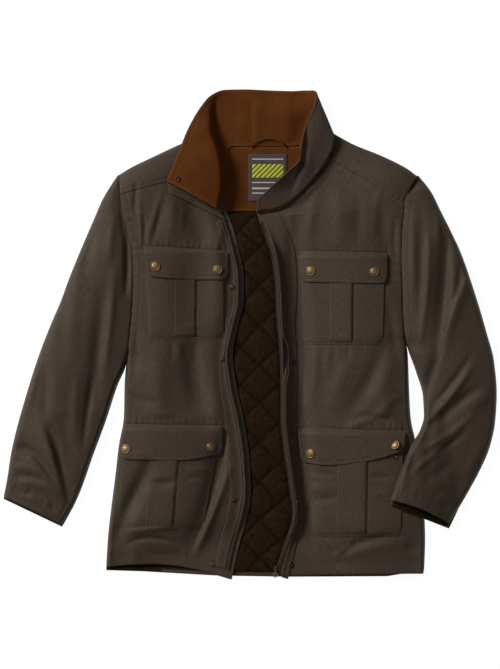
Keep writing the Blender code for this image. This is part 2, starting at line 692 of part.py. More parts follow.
def make_fronts():
    """Both fronts and yokes; returns the fronts' upper faces."""
    halves = [
        ("right", RIGHT_FRONT, RIGHT_YOKE, RIGHT, RIGHT_FAR, 15),
        ("left", LEFT_FRONT, LEFT_YOKE, LEFT, LEFT_FAR, 1),
    ]
    faces = {}
    for side, front, yoke, shape, far, bow in halves:
        out, inner = section_points(front, FRONT_ROWS)
        plan = across(out, inner, FRONT_NEAR, far, 5)
        bow_hem(plan, bow, 4)
        plan[-1, :, 1] -= GAP / 2
        faces[side] = panel("front_" + side, plan, shape.height)
        out, inner = section_points(yoke, YOKE_ROWS)
        plan = across(out, inner, FRONT_NEAR, far, 5)
        plan[0, :, 1] += GAP / 2 + 0.2
        panel("yoke_" + side, plan, shape.height)
    return faces


def make_bands(faces):
    """Placket bands, storm flap and zip tapes, from the fronts' own points."""
    right, left = faces["right"], faces["left"]
    folded_strip("placket_right", right[1:-2], PLACKET_INNER, PLACKET_FREE, 1, 0.0)
    band("zip_tape_right", right, slice(1, -2), slice(-3, -1), GAP, TAPE_CLOTH, "tape")
    band("zip_tape_left", left, slice(1, -4), slice(-2, None), GAP, TAPE_CLOTH, "tape")
    folded_strip("storm_flap_left", left[:-4], STORM_INNER, STORM_FREE, 2, STORM_CURL)


# ---------------------------------------------------------------- pockets and snaps
def flap_lift(x, y, seam):
    """A flap is sewn down along its seam and clears the pocket and the placket below it."""
    over_placket = float(ease((x + 72) / 8)) if x < 0 else float(ease((86 - x) / 8))
    return GAP + FLAP_CLEAR * max(float(ease((seam - y) / FLAP_FADE)), over_placket)


def flap_outline(corners, radius):
    """Flap outline: square ends at its seam, rounded corners below."""
    lower = rounded(corners, radius)[2 * ROUND_STEPS:]
    return [np.array(corner, float) for corner in corners[:2]] + lower


def make_pockets(faces):
    """Patch pockets with a raised box pleat, and their flaps."""
    for pocket in POCKETS:
        side = "right" if pocket.name.endswith("right") else "left"
        top_y, low_y = pocket.corners[0][1], pocket.corners[2][1]
        (a_top, a_low), (b_top, b_low) = pocket.pleat
        cuts = []
        for top_x, low_x in ((a_top, a_low), (b_top, b_low)):
            for shift in (-1.0, 1.0):
                cuts.append(((top_x + shift, top_y), (low_x + shift, low_y)))

        def raised(x, y, top_y=top_y, low_y=low_y, pleat=pocket.pleat):
            t = (y - low_y) / (top_y - low_y)
            left_x = pleat[0][1] + (pleat[0][0] - pleat[0][1]) * t
            right_x = pleat[1][1] + (pleat[1][0] - pleat[1][1]) * t
            return PLEAT_RISE if left_x + 0.9 < x < right_x - 0.9 else 0.0

        patch(pocket.name, faces[side], rounded(pocket.corners, 8), lambda x, y: GAP, POCKET_CLOTH,
              "shell_light", cuts, raised)

    for name, corners in FLAPS.items():
        side = "right" if name.endswith("right") else "left"
        seam = corners[0][1]
        fold = seam - FLAP_FADE
        patch(name, faces[side], flap_outline(corners, 14),
              lambda x, y, seam=seam: flap_lift(x, y, seam), FLAP_CLOTH, "shell_light",
              [((0, fold), (1, fold))])


def seat(names, x, y, radius):
    """Place and tilt for a round piece resting on the named solids."""
    around = []
    for k in range(36):
        turn = k * math.tau / 12
        reach = radius * (0.35, 0.7, 1.05)[k // 12]
        px, py = x + reach * math.cos(turn), y + reach * math.sin(turn)
        around.append(Vector((px, py, top_at(names, px, py))))
    centre = Vector((x, y, top_at(names, x, y)))
    heights = [p for p in around if p.z > 0.5 * centre.z]
    slope_x = sum((p.x - x) * (p.z - centre.z) for p in heights) / sum((p.x - x) ** 2 for p in heights)
    slope_y = sum((p.y - y) * (p.z - centre.z) for p in heights) / sum((p.y - y) ** 2 for p in heights)
    normal = Vector((-slope_x, -slope_y, 1)).normalized()
    clear = max((p - centre).dot(normal) for p in heights + [centre])
    return centre + normal * (max(clear, 0) + GAP), normal


def turned(name, place, normal, profile, slot, sides=14):
    """Round piece turned from a (radius, height) profile, set on a tilted seat."""
    bm = bmesh.new()
    tilt = Vector((0, 0, 1)).rotation_difference(normal)
    rings = []
    for radius, height in profile:
        if radius == 0:
            rings.append([bm.verts.new(place + tilt @ Vector((0, 0, height)))])
            continue
        ring = []
        for k in range(sides):
            turn = k * math.tau / sides
            local = Vector((radius * math.cos(turn), radius * math.sin(turn), height))
            ring.append(bm.verts.new(place + tilt @ local))
        rings.append(ring)
    for low, high in zip(rings, rings[1:]):
        for k in range(sides):
            n = (k + 1) % sides
            if len(high) == 1:
                bm.faces.new((low[k], low[n], high[0]))
            else:
                bm.faces.new((low[k], low[n], high[n], high[k]))
    bm.faces.new(rings[0][::-1])
    add_object(name, bm, slot)


def cap_profile(diameter):
    radius = diameter / 2
    return [(0.86 * radius, 0), (radius, 0.7), (0.96 * radius, 1.5), (0.62 * radius, 2.6), (0, 3.0)]


def stud_profile(diameter):
    radius = diameter / 2
    return [(radius, 0), (radius, 0.8), (0.62 * radius, 1.0), (0.45 * radius, 2.2), (0, 2.3)]


def make_snaps():
    """Caps on the pocket flaps; studs and sockets down the fronts and on the collar."""
    for name, x, y in FLAP_CAPS:
        place, normal = seat(list(FLAPS), x, y, 0.4 * CAP_DIAMETER)
        turned(name, place, normal, cap_profile(CAP_DIAMETER), "brass")
    for name, x, y, carrier in STUDS:
        carriers = [carrier, "front_right", "front_left"]
        place, normal = seat(carriers, x, y, STUD_DIAMETER / 2)
        turned(name, place, normal, stud_profile(STUD_DIAMETER), "brass", 10)


# ---------------------------------------------------------------- sleeves
STEEPEST = 0.37                 # least upward share of a sleeve's thickness direction
FOREARM_TOP = 330.0             # below this height the left forearm lies on the body
FOREARM_CLEAR = 1.6
FOREARM_CARRIERS = ["back", "front_left", "lower_pocket_left", "lower_flap_left", "pocket_socket"]


def sleeve_plan(sleeve):
    """Sleeve sections whose inner ends meet the body's armhole above the armpit."""
    out, inner = section_points(sleeve.sections, SLEEVE_ROWS)
    on_body = inner[:, 1] > sleeve.body.armpit_y
    seam = flow(sleeve.body.side_y, sleeve.body.side_x, inner[:, 1]) - sleeve.turn * GAP
    inner[:, 0] = np.where(on_body, seam, inner[:, 0])
    return out, inner, on_body


def sleeve_top(sleeve, plan, on_body, base):
    """Upper sleeve heights: rolled at the outer fold, lower at the armhole seam."""
    crown = flow(*zip(*sleeve.crown), np.linspace(0, 1, SLEEVE_ROWS))
    width = np.linalg.norm(plan[:, -1] - plan[:, 0], axis=-1)[:, None]
    from_out = np.linalg.norm(plan - plan[:, :1], axis=-1)
    from_in = np.linalg.norm(plan - plan[:, -1:], axis=-1)
    full = np.minimum(crown[:, None], 0.42 * width + 4)
    end_z = np.where(on_body, np.minimum(sleeve.armhole_z, full[:, 0]), REST)[:, None]
    rise = REST + (full - REST) * roll(from_out / np.minimum(SLEEVE_ROLL, 0.6 * width))
    share = roll(from_in / np.minimum(SLEEVE_ROLL, 0.6 * width))
    floor_share = (end_z - REST) / np.maximum(full - REST, 0.1)
    z = REST + (rise - REST) * (floor_share + (1 - floor_share) * share)
    keep = roll(from_out / 24) * roll(from_in / 24)
    z += fold_height(sleeve.folds, plan[..., 0], plan[..., 1]) * keep
    return base + np.maximum(z, REST)


def on_surface(x, y):
    """Level of the surface the jacket lies on."""
    return 0.0


def over_body(x, y):
    """Level on which the left forearm rests: the body and its pocket, or the bare surface."""
    if y > FOREARM_TOP:
        return 0.0
    height = tent_at(FOREARM_CARRIERS, x, y, 10.0, 22.0, 1.3) + FOREARM_CLEAR
    fade = float(ease(height / 6) * ease((FOREARM_TOP - y) / 40))
    return height * fade if height > FOREARM_CLEAR + 0.1 else 0.0


Sleeve = namedtuple("Sleeve", "side sections body turn folds armhole_z crown base_at cuff_drop bow "
                              "under_columns")
SLEEVES = {
    "right": Sleeve("right", RIGHT_SLEEVE, RIGHT, 1, RIGHT_SLEEVE_FOLDS, 9.0,
                    [(0, 17), (0.15, 26), (0.5, SLEEVE_CROWN), (0.85, 28), (1, 16)],
                    on_surface, 4.0, 2.0, ([0], [0], 1)),
    "left": Sleeve("left", LEFT_SLEEVE, LEFT, -1, LEFT_SLEEVE_FOLDS, 17.0,
                   [(0, 19), (0.15, 25), (0.5, SLEEVE_CROWN), (0.85, 28), (1, 16)],
                   over_body, 10.0, 6.0, ([0, 14], [0, 14], 3)),
}


def make_sleeve(sleeve):
    """Under and top half of one sleeve; returns their upper faces."""
    out, inner, on_body = sleeve_plan(sleeve)
    under = across(out, inner, *sleeve.under_columns)
    under[0, :, 1] -= sleeve.cuff_drop
    lift = np.array([[sleeve.base_at(x, y) for x, y in row] for row in under])
    low = np.concatenate([under, lift[..., None]], axis=-1)
    high = low + np.array([0, 0, CLOTH])
    wall("under_sleeve_" + sleeve.side, high, low, "shell")
    plan = across(out, inner, SLEEVE_NEAR, SLEEVE_NEAR, 4)
    bow_hem(plan, sleeve.bow, 3)
    base = np.array([[sleeve.base_at(x, y) for x, y in row] for row in plan])
    outer = np.concatenate([plan, sleeve_top(sleeve, plan, on_body, base)[..., None]], axis=-1)
    normal = grid_normals(outer)
    normal *= np.sign(normal[..., 2:])
    normal[..., 2] = np.maximum(normal[..., 2], STEEPEST)
    normal /= np.linalg.norm(normal, axis=-1, keepdims=True)
    inside = outer - normal * CLOTH
    inside[..., 2] = np.maximum(inside[..., 2], base + REST)
    wall("top_sleeve_" + sleeve.side, outer, inside, "shell")
    return high, outer


def make_sleeves():
    """Both sleeves; the left forearm rests across the left front and its pocket."""
    make_sleeve(SLEEVES["right"])
    under, top = make_sleeve(SLEEVES["left"])
    band("cuff_lining_left", under, slice(0, 3), slice(1, -1), GAP, TAPE_CLOTH, "lining")
    patch("sleeve_patch", top, BADGE, lambda x, y: GAP, 1.0, "patch")


# ---------------------------------------------------------------- collar
COLLAR_FREE = 10.0              # above this level the collar lies over the fronts
COLLAR_CLEAR = 2.4


def make_collar():
    """Collar band: corduroy on its inside and shell cloth on its outside."""
    data = np.array([tuple(row) for row in COLLAR], float)
    reach = np.linalg.norm(np.diff(data[:, :3], axis=0), axis=1)
    reach += np.linalg.norm(np.diff(data[:, 3:6], axis=0), axis=1)
    place = np.concatenate([[0], np.cumsum(reach)])
    at = np.linspace(0, place[-1], COLLAR_ROWS)
    neck = np.stack([flow(place, data[:, k], at) for k in range(3)], axis=-1)
    top = np.stack([flow(place, data[:, k], at) for k in range(3, 6)], axis=-1)
    lift = flow(place, data[:, 6], at)
    share = np.linspace(0, 1, 6)
    band_points = neck[:, None] + (top - neck)[:, None] * share[None, :, None]
    band_points[..., 2] += lift[:, None] * 4 * share * (1 - share)
    carriers = ["front_right", "front_left", "yoke_right", "yoke_left"]
    for row in band_points:
        for point in row:
            if point[2] > COLLAR_FREE:
                under = tent_at(carriers, point[0], point[1], 5, 12, 0.8)
                point[2] = max(point[2], under + COLLAR_CLEAR)
    normal = grid_normals(band_points)
    half = GAP / 2
    shell_low = band_points - normal * (half + CLOTH)
    shell_low[..., 2] = np.maximum(shell_low[..., 2], 0.1)
    wall("collar_shell", band_points - normal * half, shell_low, "shell")
    wall("collar_corduroy", band_points + normal * (half + CORD_CLOTH), band_points + normal * half,
         "corduroy")


# ---------------------------------------------------------------- zip
def box(bm, low, high):
    made = bmesh.ops.create_cube(bm, size=1.0)
    for vert in made["verts"]:
        for k in range(3):
            vert.co[k] = low[k] if vert.co[k] < 0 else high[k]


def torus(bm, centre, major, minor, axis, turns=12, sides=6):
    """Ring of round wire about the x or z axis."""
    grid = []
    for i in range(turns):
        turn = i * math.tau / turns
        ring = []
        for k in range(sides):
            tube = k * math.tau / sides
            far = major + minor * math.cos(tube)
            a, b, c = far * math.cos(turn), far * math.sin(turn), minor * math.sin(tube)
            local = (c, a, b) if axis == "x" else (a, b, c)
            ring.append(bm.verts.new(Vector(centre) + Vector(local)))
        grid.append(ring)
    for i in range(turns):
        for k in range(sides):
            n, m = (i + 1) % turns, (k + 1) % sides
            bm.faces.new((grid[i][k], grid[n][k], grid[n][m], grid[i][m]))


def rod(bm, start, stop, radius, sides=8):
    """Round rod along x or y between two points."""
    run = Vector(stop) - Vector(start)
    made = bmesh.ops.create_cone(bm, segments=sides, radius1=radius, radius2=radius,
                                 depth=run.length, cap_ends=True)
    turn = Vector((0, 0, 1)).rotation_difference(run.normalized())
    for vert in made["verts"]:
        vert.co = turn @ vert.co + (Vector(start) + Vector(stop)) / 2


def union(name, shapes, slot):
    """One solid from several overlapping shapes."""
    made = None
    for shape in shapes:
        bm = bmesh.new()
        shape(bm)
        bmesh.ops.recalc_face_normals(bm, faces=bm.faces)
        if bm.calc_volume(signed=True) < 0:
            bmesh.ops.reverse_faces(bm, faces=bm.faces)
        mesh = bpy.data.meshes.new(name)
        bm.to_mesh(mesh)
        bm.free()
        piece = bpy.data.objects.new(name + "_part", mesh)
        bpy.context.scene.collection.objects.link(piece)
        if made is None:
            made = piece
            continue
        join = made.modifiers.new("join", "BOOLEAN")
        join.operation = "UNION"
        join.object = piece
        bpy.context.view_layer.update()
        joined = bpy.data.meshes.new_from_object(
            made.evaluated_get(bpy.context.evaluated_depsgraph_get()))
        made.modifiers.clear()
        made.data = joined
        bpy.data.objects.remove(piece)
    bm = bmesh.new()
    bm.from_mesh(made.data)
    bpy.data.objects.remove(made)
    return add_object(name, bm, slot)


def set_origin(made, place):
    """Move an object's origin to a point given in garment millimetres."""
    centre = Vector((place[0] + LAY_ORIGIN[0], place[1] + LAY_ORIGIN[1], place[2])) * MM
    made.data.transform(Matrix.Translation(-centre))
    made.location = centre


def make_zip():
    """Slider at the foot of the left zip tape, and its ring pull on a cross pin."""
    x, y = SLIDER["x"], SLIDER["y"]
    half = SLIDER["width"] / 2
    long_half = SLIDER["length"] / 2
    seat_z = tent_at(["zip_tape_left", "front_left"], x, y, 7.0, 7.0) + GAP
    top_z = seat_z + SLIDER["tall"]
    pin_y, pin_z = y - PIN["back"], top_z + PIN["rise"]

    def body(bm):
        made = bmesh.ops.create_cube(bm, size=1.0)
        for vert in made["verts"]:
            narrow = 0.7 if vert.co.y < 0 else 1.0
            vert.co = Vector((x + math.copysign(half * narrow, vert.co.x),
                              y + math.copysign(long_half, vert.co.y),
                              seat_z if vert.co.z < 0 else top_z))
        bmesh.ops.bevel(bm, geom=bm.edges[:], offset=SLIDER["bevel"], segments=1, affect="EDGES")

    def ear(side):
        low_x, high_x = sorted((x + side * EAR["near"], x + side * EAR["far"]))
        low = (low_x, pin_y - EAR["half"], top_z - 0.4)
        high = (high_x, pin_y + EAR["half"], pin_z + EAR["over"])
        return lambda bm: box(bm, low, high)

    def pin(bm):
        reach = (EAR["near"] + EAR["far"]) / 2
        rod(bm, (x - reach, pin_y, pin_z), (x + reach, pin_y, pin_z), PIN["radius"])

    union("zip_slider", [body, ear(-1), ear(1), pin], "brass")
    neck_y = pin_y - PULL["eye"]
    ring_y = neck_y - PULL["neck"] - PULL["ring"]
    pull = union("zip_pull", [
        lambda bm: torus(bm, (x, pin_y, pin_z), PULL["eye"], PULL["wire"] * 0.8, "x"),
        lambda bm: rod(bm, (x, neck_y, pin_z), (x, neck_y - PULL["neck"], pin_z), PULL["wire"]),
        lambda bm: torus(bm, (x, ring_y, pin_z), PULL["ring"], PULL["wire"], "z", 16)], "brass")
    set_origin(pull, (x, pin_y, pin_z))


def main():
    for item in list(bpy.data.objects):
        bpy.data.objects.remove(item, do_unlink=True)
    make_back([sleeve_plan(SLEEVES[side])[1] for side in ("right", "left")])
    make_inside()
    faces = make_fronts()
    make_bands(faces)
    make_pockets(faces)
    make_collar()
    make_snaps()
    make_sleeves()
    make_zip()


main()
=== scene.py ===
"""Waxed cotton jacket laid flat on its back, dressed over its CAD frame.

Lengths are garment millimetres until to_metres: x runs across from the middle of the back neck,
y runs up from the hem, z up from the surface it lies on. "Right" and "left" are the wearer's, so
the right front lies at negative x.
"""
import math
from collections import namedtuple

import bmesh
import bpy
import numpy as np
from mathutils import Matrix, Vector
from mathutils.bvhtree import BVHTree


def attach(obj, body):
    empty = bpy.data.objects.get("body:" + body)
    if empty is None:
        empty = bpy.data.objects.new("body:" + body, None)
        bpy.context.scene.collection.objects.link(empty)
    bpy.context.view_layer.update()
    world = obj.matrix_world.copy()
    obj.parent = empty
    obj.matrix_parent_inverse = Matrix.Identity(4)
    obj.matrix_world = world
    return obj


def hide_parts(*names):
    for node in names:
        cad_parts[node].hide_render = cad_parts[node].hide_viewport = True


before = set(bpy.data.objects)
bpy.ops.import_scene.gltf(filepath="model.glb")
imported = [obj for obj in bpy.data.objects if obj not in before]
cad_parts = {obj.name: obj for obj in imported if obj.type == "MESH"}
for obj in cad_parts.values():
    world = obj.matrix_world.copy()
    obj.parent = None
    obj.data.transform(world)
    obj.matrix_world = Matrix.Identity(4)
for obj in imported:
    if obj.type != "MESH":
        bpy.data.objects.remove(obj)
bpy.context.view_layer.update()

# ---------------------------------------------------------------- shared sizes (mm)
LAY_ORIGIN = np.array([7.73, -437.59, 0.0])
GAP = 0.3                       # clearance between neighbouring pieces
CLOTH, CORD_CLOTH, POCKET_CLOTH, FLAP_CLOTH, BAND_CLOTH, TAPE_CLOTH = 1.6, 1.8, 1.5, 1.6, 1.4, 1.2
REST = CLOTH + GAP              # lowest level of whatever lies on the back panel
CROWN, SLEEVE_CROWN = 27.0, 33.0
FRONT_DROP, FRONT_REACH = 15.0, 165.0       # a front sinks from the crown to its front edge
HEM_REACH, EDGE_REACH = 110.0, 44.0
FRONT_LOWEST, HEM_LOWEST, SOFT = 6.8, 9.5, 2.0      # how low it may sink, and that limit's rounding
SIDE_ROLL = 34.0                # width of the roll at the side folds
EDGE_RIDGE = 7.0                # height of the ridge beside each front edge
ARMHOLE_Z, TUCK = 22.0, 4.5     # height of an armhole seam, and the width of the tuck beside it
FLAP_FADE, FLAP_CLEAR = 14.0, 3.6           # a flap stands off its pocket below its seam
HEM = 20.0                      # depth of the turned-up hems and cuffs
# Double rows of stitches: their distances from a seam or an edge.
YOKE_ROWS, SIDE_ROWS, SLEEVE_ROWS, FLAP_TOP_ROWS = (4.5, 10.0), (5.0, 11.5), (5.0, 11.0), (2.0, 6.8)
POCKET_ROWS, FLAP_ROWS, PLACKET_ROWS, STORM_ROWS = (2.4, 8.0), (2.2, 7.6), (17.5, 22.0), (2.5, 8.5)
# Rows and columns of each piece's grid.
FRONT_GRID, YOKE_GRID, BACK_GRID, LINING_GRID = (205, 112), (44, 88), (72, 72), (250, 110)
FACING_GRID, LABEL_GRID, PLACKET_GRID, TAPE_GRID = (50, 80), (48, 40), (190, 24), (190, 12)
STORM_GRID, POCKET_GRID, FLAP_GRID, SLEEVE_GRID = (200, 28), (76, 100), (46, 104), (190, 88)
UNDER_GRID, COLLAR_GRID, STRIP_GRID, BADGE_GRID = (90, 40), (220, 46), (22, 90), (20, 20)

# A section joins the outer and the inner edge of a panel; a fold is a curve through three points.
Section = namedtuple("Section", "out_x out_y in_x in_y")
Fold = namedtuple("Fold", "x0 y0 x1 y1 x2 y2 width height lean", defaults=[0.0])
CollarSection = namedtuple("CollarSection", "neck_x neck_y neck_z top_x top_y top_z lift")


def rows_of(kind, rows):
    return [kind(*row) for row in rows]


RIGHT_FRONT = rows_of(Section, [
    (-266, 20, -41, -3), (-263, 70, -27, 60), (-257, 125, -13, 110), (-250, 180, -6, 155),
    (-243, 240, -10, 225), (-234, 290, -20, 290), (-233, 345, -33, 350), (-230, 385, -39, 400),
    (-224, 430, -30, 450), (-219, 485, -19, 500), (-217, 535, -19, 540), (-219, 590, -28, 590),
    (-228, 625, -38, 628), (-235, 652, -51, 663), (-239, 676, -66, 700), (-241, 690, -69, 735),
])
RIGHT_YOKE = rows_of(Section, [
    (-241, 690, -69, 735), (-242, 708, -70, 768), (-243, 725, -74, 802),
])
LEFT_FRONT = rows_of(Section, [
    (305, 8, 36, 4), (307, 70, 52, 55), (303, 150, 68, 115), (290, 245, 60, 180), (281, 285, 52, 235),
    (278, 340, 47, 290), (276, 400, 47, 350), (270, 440, 45, 410), (267, 480, 40, 460),
    (266, 525, 38, 510), (264, 572, 31, 575), (265, 607, 20, 610), (266, 630, 6, 655),
    (268, 648, 45, 664), (269, 660, 88, 692), (270, 675, 136, 755),
])
LEFT_YOKE = rows_of(Section, [
    (270, 675, 136, 755), (280, 700, 144, 778), (293, 722, 142, 800),
])
RIGHT_SLEEVE = rows_of(Section, [
    (-451, 146, -346, 96), (-444, 180, -328, 124), (-438, 220, -311, 162), (-428, 265, -291, 219),
    (-412, 322, -268, 281), (-389, 395, -247, 345), (-366, 455, -231, 384), (-348, 497, -225, 430),
    (-333, 538, -220, 485), (-318, 575, -218, 535), (-302, 613, -220, 590), (-286, 650, -229, 625),
    (-273, 680, -236, 652), (-258, 705, -242, 690), (-245, 724.5, -243.6, 724.5),
])
LEFT_SLEEVE = rows_of(Section, [
    (350, 99, 243, 142), (368, 126, 253, 168), (386, 157, 267, 204), (405, 192, 282, 240),
    (423, 234, 298, 266), (433, 280, 305, 292), (436, 330, 304, 325), (431, 390, 291, 372),
    (418, 440, 275, 418), (406, 482, 268, 460), (394, 520, 267, 500), (382, 556, 266, 530),
    (370, 588, 265, 572), (354, 622, 266, 607), (334, 662, 270, 640), (318, 694, 277, 678),
    (294.6, 723.6, 293.4, 723.2),
])
COLLAR = rows_of(CollarSection, [
    (-68, 664, 26, -156, 713, 35, 4), (-61, 682, 29, -149, 731, 36, 5),
    (-56, 700, 31, -141, 750, 36, 6), (-53, 720, 32, -131, 775, 34, 6),
    (-51, 738, 32, -120, 802, 29, 6), (-50, 754, 30, -108, 826, 23, 5), (-48, 766, 24, -95, 847, 18, 1),
    (-44, 774, 12, -80, 865, 13, -2), (-36, 776.5, 3.7, -54, 877, 6, 0),
    (-10, 776.5, 3.7, -18, 878, 2.6, 4), (30, 776.5, 3.7, 30, 876, 2.4, 5),
    (70, 777, 3.7, 68, 875, 2.6, 5), (108, 789, 7, 92, 876, 4, 3), (130, 795, 9, 103, 876, 9, 1),
    (139, 798, 14, 109, 874, 14, 0), (142, 795, 20, 111, 869, 19, 2), (143, 778, 22, 107, 848, 27, 2),
    (133, 751, 20, 95, 822, 34, 0), (108, 716, 19, 88, 799, 39, -2), (82, 687, 18, 84, 780, 42, -3),
    (62, 671, 18, 81, 752, 42, -3), (46, 662, 18, 62, 732, 38, -2), (24, 657, 18, 33, 705, 32, -1),
    (4, 657, 18, 5, 679, 24, 0),
])

# Main folds, then the smaller creases laid over them.
RIGHT_FRONT_FOLDS = rows_of(Fold, [
    # beside the placket, from the chest to the hem, with the flare of the lower corner
    (-74, 655, -62, 560, -70, 430, 16, 4), (-92, 420, -76, 340, -64, 240, 14, 5),
    (-112, 450, -100, 380, -80, 296, 19, -8.5), (-114, 596, -106, 510, -114, 426, 30, -8),
    (-52, 268, -54, 172, -118, 40, 13, -12, -0.6), (-40, 208, -76, 114, -118, 16, 6, 6, 0.4),
    # chest
    (-150, 700, -146, 645, -150, 596, 13, 5), (-122, 684, -98, 640, -92, 590, 19, -7.5),
    (-56, 640, -60, 618, -66, 590, 6, 2.0), (-164, 706, -176, 650, -194, 598, 6, 2.6),
    (-166, 676, -172, 640, -184, 602, 6, -2.8), (-128, 680, -126, 650, -136, 612, 6, 1.8),
    (-213, 714, -214, 685, -214, 650, 4, -2.8), (-206, 680, -204, 636, -200, 590, 4.5, 2.4),
    (-198, 655, -196, 620, -200, 586, 4, -2.2), (-72, 830, -70, 775, -68, 725, 20, -9),
    # waist
    (-176, 424, -170, 350, -166, 286, 20, 5), (-118, 428, -114, 360, -102, 292, 17, -6),
    (-96, 424, -92, 380, -84, 330, 6, 3.4), (-150, 432, -146, 412, -150, 388, 4, -1.6),
    (-136, 428, -133, 410, -134, 392, 4, 1.4), (-118, 428, -112, 408, -116, 384, 4, 1.4),
    (-214, 470, -208, 420, -216, 352, 8, -2.4), (-228, 330, -200, 312, -166, 318, 7, -2.6),
    (-200, 300, -172, 292, -140, 296, 5, 1.8),
    # lower pocket and hem
    (-180, 216, -212, 160, -258, 50, 14, -10), (-192, 172, -162, 168, -138, 174, 9, -4.5),
    (-236, 230, -214, 218, -190, 206, 9, 3), (-238, 80, -196, 92, -134, 90, 4.5, 4.0),
    (-230, 62, -192, 84, -130, 60, 4.5, -4.5), (-222, 62, -216, 36, -212, 14, 11, 3.5),
    (-196, 52, -160, 34, -124, 38, 12, -3.4), (-126, 178, -110, 184, -88, 176, 3.5, -1.8),
    (-122, 196, -104, 192, -84, 196, 4, 1.6), (-128, 50, -122, 38, -128, 22, 4, 1.6),
    (-110, 44, -108, 30, -114, 16, 4, -1.8), (-250, 46, -236, 30, -228, 14, 7, 1.6),
])
LEFT_FRONT_FOLDS = rows_of(Fold, [
    # beside the zip, from the neck to the hem
    (68, 652, 76, 580, 78, 490, 14, -11), (78, 548, 88, 400, 84, 270, 15, -13),
    (82, 310, 88, 230, 96, 120, 14, -12), (94, 170, 94, 80, 84, -12, 14, -12),
    (60, 655, 72, 632, 76, 588, 7, 3.4),
    # slits between zip tape and storm flap
    (54, 434, 59, 400, 53, 358, 3.4, -7), (63, 132, 62, 92, 44, 40, 3.2, -5),
    # neck seam and chest
    (149, 780, 126, 706, 46, 656, 7, 3.6), (116, 704, 98, 640, 94, 596, 9, 3.0),
    (205, 700, 236, 640, 248, 520, 16, -4), (150, 712, 158, 640, 150, 592, 15, 3),
    (188, 700, 190, 650, 182, 596, 10, -2.4), (254, 650, 248, 612, 256, 560, 6, -2.6),
    (222, 696, 216, 660, 216, 612, 8, 2.4), (140, 830, 139, 770, 100, 705, 10, -7),
    # waist
    (240, 420, 225, 360, 235, 290, 16, 3), (110, 424, 104, 360, 96, 290, 12, 3.6),
    (180, 424, 156, 360, 134, 296, 14, 3), (242, 440, 214, 350, 156, 280, 15, -6),
    (262, 330, 236, 314, 222, 288, 9, 2.6), (136, 424, 130, 396, 132, 360, 5, 1.8),
    (165, 420, 170, 404, 168, 384, 4, -1.8), (150, 420, 153, 404, 150, 388, 4, 1.4),
    (178, 286, 208, 300, 250, 276, 6, -4.0), (160, 262, 196, 288, 250, 300, 7, 2.6),
    (238, 500, 250, 440, 256, 390, 8, -2.4),
    # lower pocket and hem
    (100, 193, 122, 186, 148, 186, 4, -2.4), (94, 160, 120, 163, 150, 158, 8, 2.2),
    (96, 142, 120, 137, 148, 147, 6, -2.4), (206, 186, 224, 180, 250, 183, 4, -2.4),
    (208, 150, 226, 156, 250, 146, 8, 2.0), (152, 44, 186, 72, 266, 75, 7, -4.2, 0.2),
    (142, 34, 158, 50, 180, 68, 4, 2.8), (150, 28, 190, 56, 262, 60, 8, 2.2),
    (120, 66, 146, 60, 162, 44, 5, 2.4), (128, 30, 150, 32, 176, 22, 5, -2.2),
    (268, 60, 284, 52, 298, 56, 7, -1.8),
])
RIGHT_SLEEVE_FOLDS = rows_of(Fold, [
    # the crease running down to the corner of the cuff
    (-390, 290, -362, 236, -338, 132, 10, 5, -0.3), (-372, 276, -350, 232, -330, 120, 9, -8, 0.25),
    (-344, 250, -346, 200, -328, 146, 6, 2.4),
    # creases fanning out from it over the cuff
    (-428, 236, -386, 236, -351, 156, 7, -5.5), (-408, 218, -382, 202, -349, 150, 6, 4),
    (-440, 232, -420, 240, -398, 220, 11, -3.5), (-434, 200, -412, 205, -382, 186, 6, 2.6),
    (-432, 184, -408, 187, -374, 172, 5.5, -3), (-432, 168, -404, 182, -352, 154, 5, 2.6),
    (-428, 152, -400, 160, -366, 144, 6, -1.6),
    # upper and lower arm
    (-366, 500, -362, 400, -354, 280, 22, 6.5), (-340, 300, -336, 250, -328, 190, 14, -3.5),
    (-374, 388, -370, 336, -376, 284, 8, -3.4), (-392, 392, -394, 350, -404, 310, 7, 3.4),
    (-312, 600, -328, 480, -334, 330, 15, 4), (-270, 530, -278, 420, -292, 300, 14, -8),
    (-250, 570, -256, 460, -274, 350, 8, 4.5), (-290, 366, -298, 310, -308, 230, 6, -4.5),
    (-316, 380, -322, 310, -326, 236, 8, 3), (-286, 640, -296, 590, -308, 540, 10, -2.4),
    (-250, 660, -258, 610, -262, 560, 8, 3.0), (-372, 150, -362, 136, -360, 118, 5, -1.8),
    (-420, 150, -404, 146, -388, 136, 5, 1.8), (-230, 636, -226, 560, -231, 500, 6, -6),
    (-243, 690, -236, 640, -234, 612, 4, -2),
])
LEFT_SLEEVE_FOLDS = rows_of(Fold, [
    # upper arm
    (344, 630, 348, 520, 326, 398, 13, -12, -0.35), (388, 556, 362, 500, 324, 388, 8, 5, 0.5),
    (372, 580, 369, 540, 362, 504, 6, -3), (312, 620, 312, 510, 295, 408, 6, 4),
    (300, 690, 302, 560, 296, 450, 9, -3.5), (284, 660, 284, 580, 284, 500, 7, 2.6),
    (326, 660, 330, 630, 332, 590, 7, 2.6),
    # elbow
    (336, 428, 324, 372, 304, 322, 8, -7, -0.4), (392, 408, 356, 346, 314, 304, 5.5, -3.6),
    (396, 390, 352, 320, 302, 274, 6, 5.5), (412, 346, 374, 330, 326, 272, 8, -4.6),
    (424, 334, 404, 318, 376, 300, 13, 3.6), (395, 296, 344, 248, 296, 231, 5.5, 4.2),
    (384, 266, 346, 237, 304, 216, 5.5, -3), (374, 266, 316, 224, 279, 184, 6, 3.6),
    # forearm and cuff
    (356, 212, 340, 190, 300, 176, 9, -2.4), (410, 250, 396, 214, 376, 180, 9, 1.8),
    (300, 160, 316, 150, 326, 134, 4, 1.8), (288, 150, 296, 138, 312, 128, 4, -1.6),
    (330, 152, 344, 150, 352, 130, 5, 1.6),
])


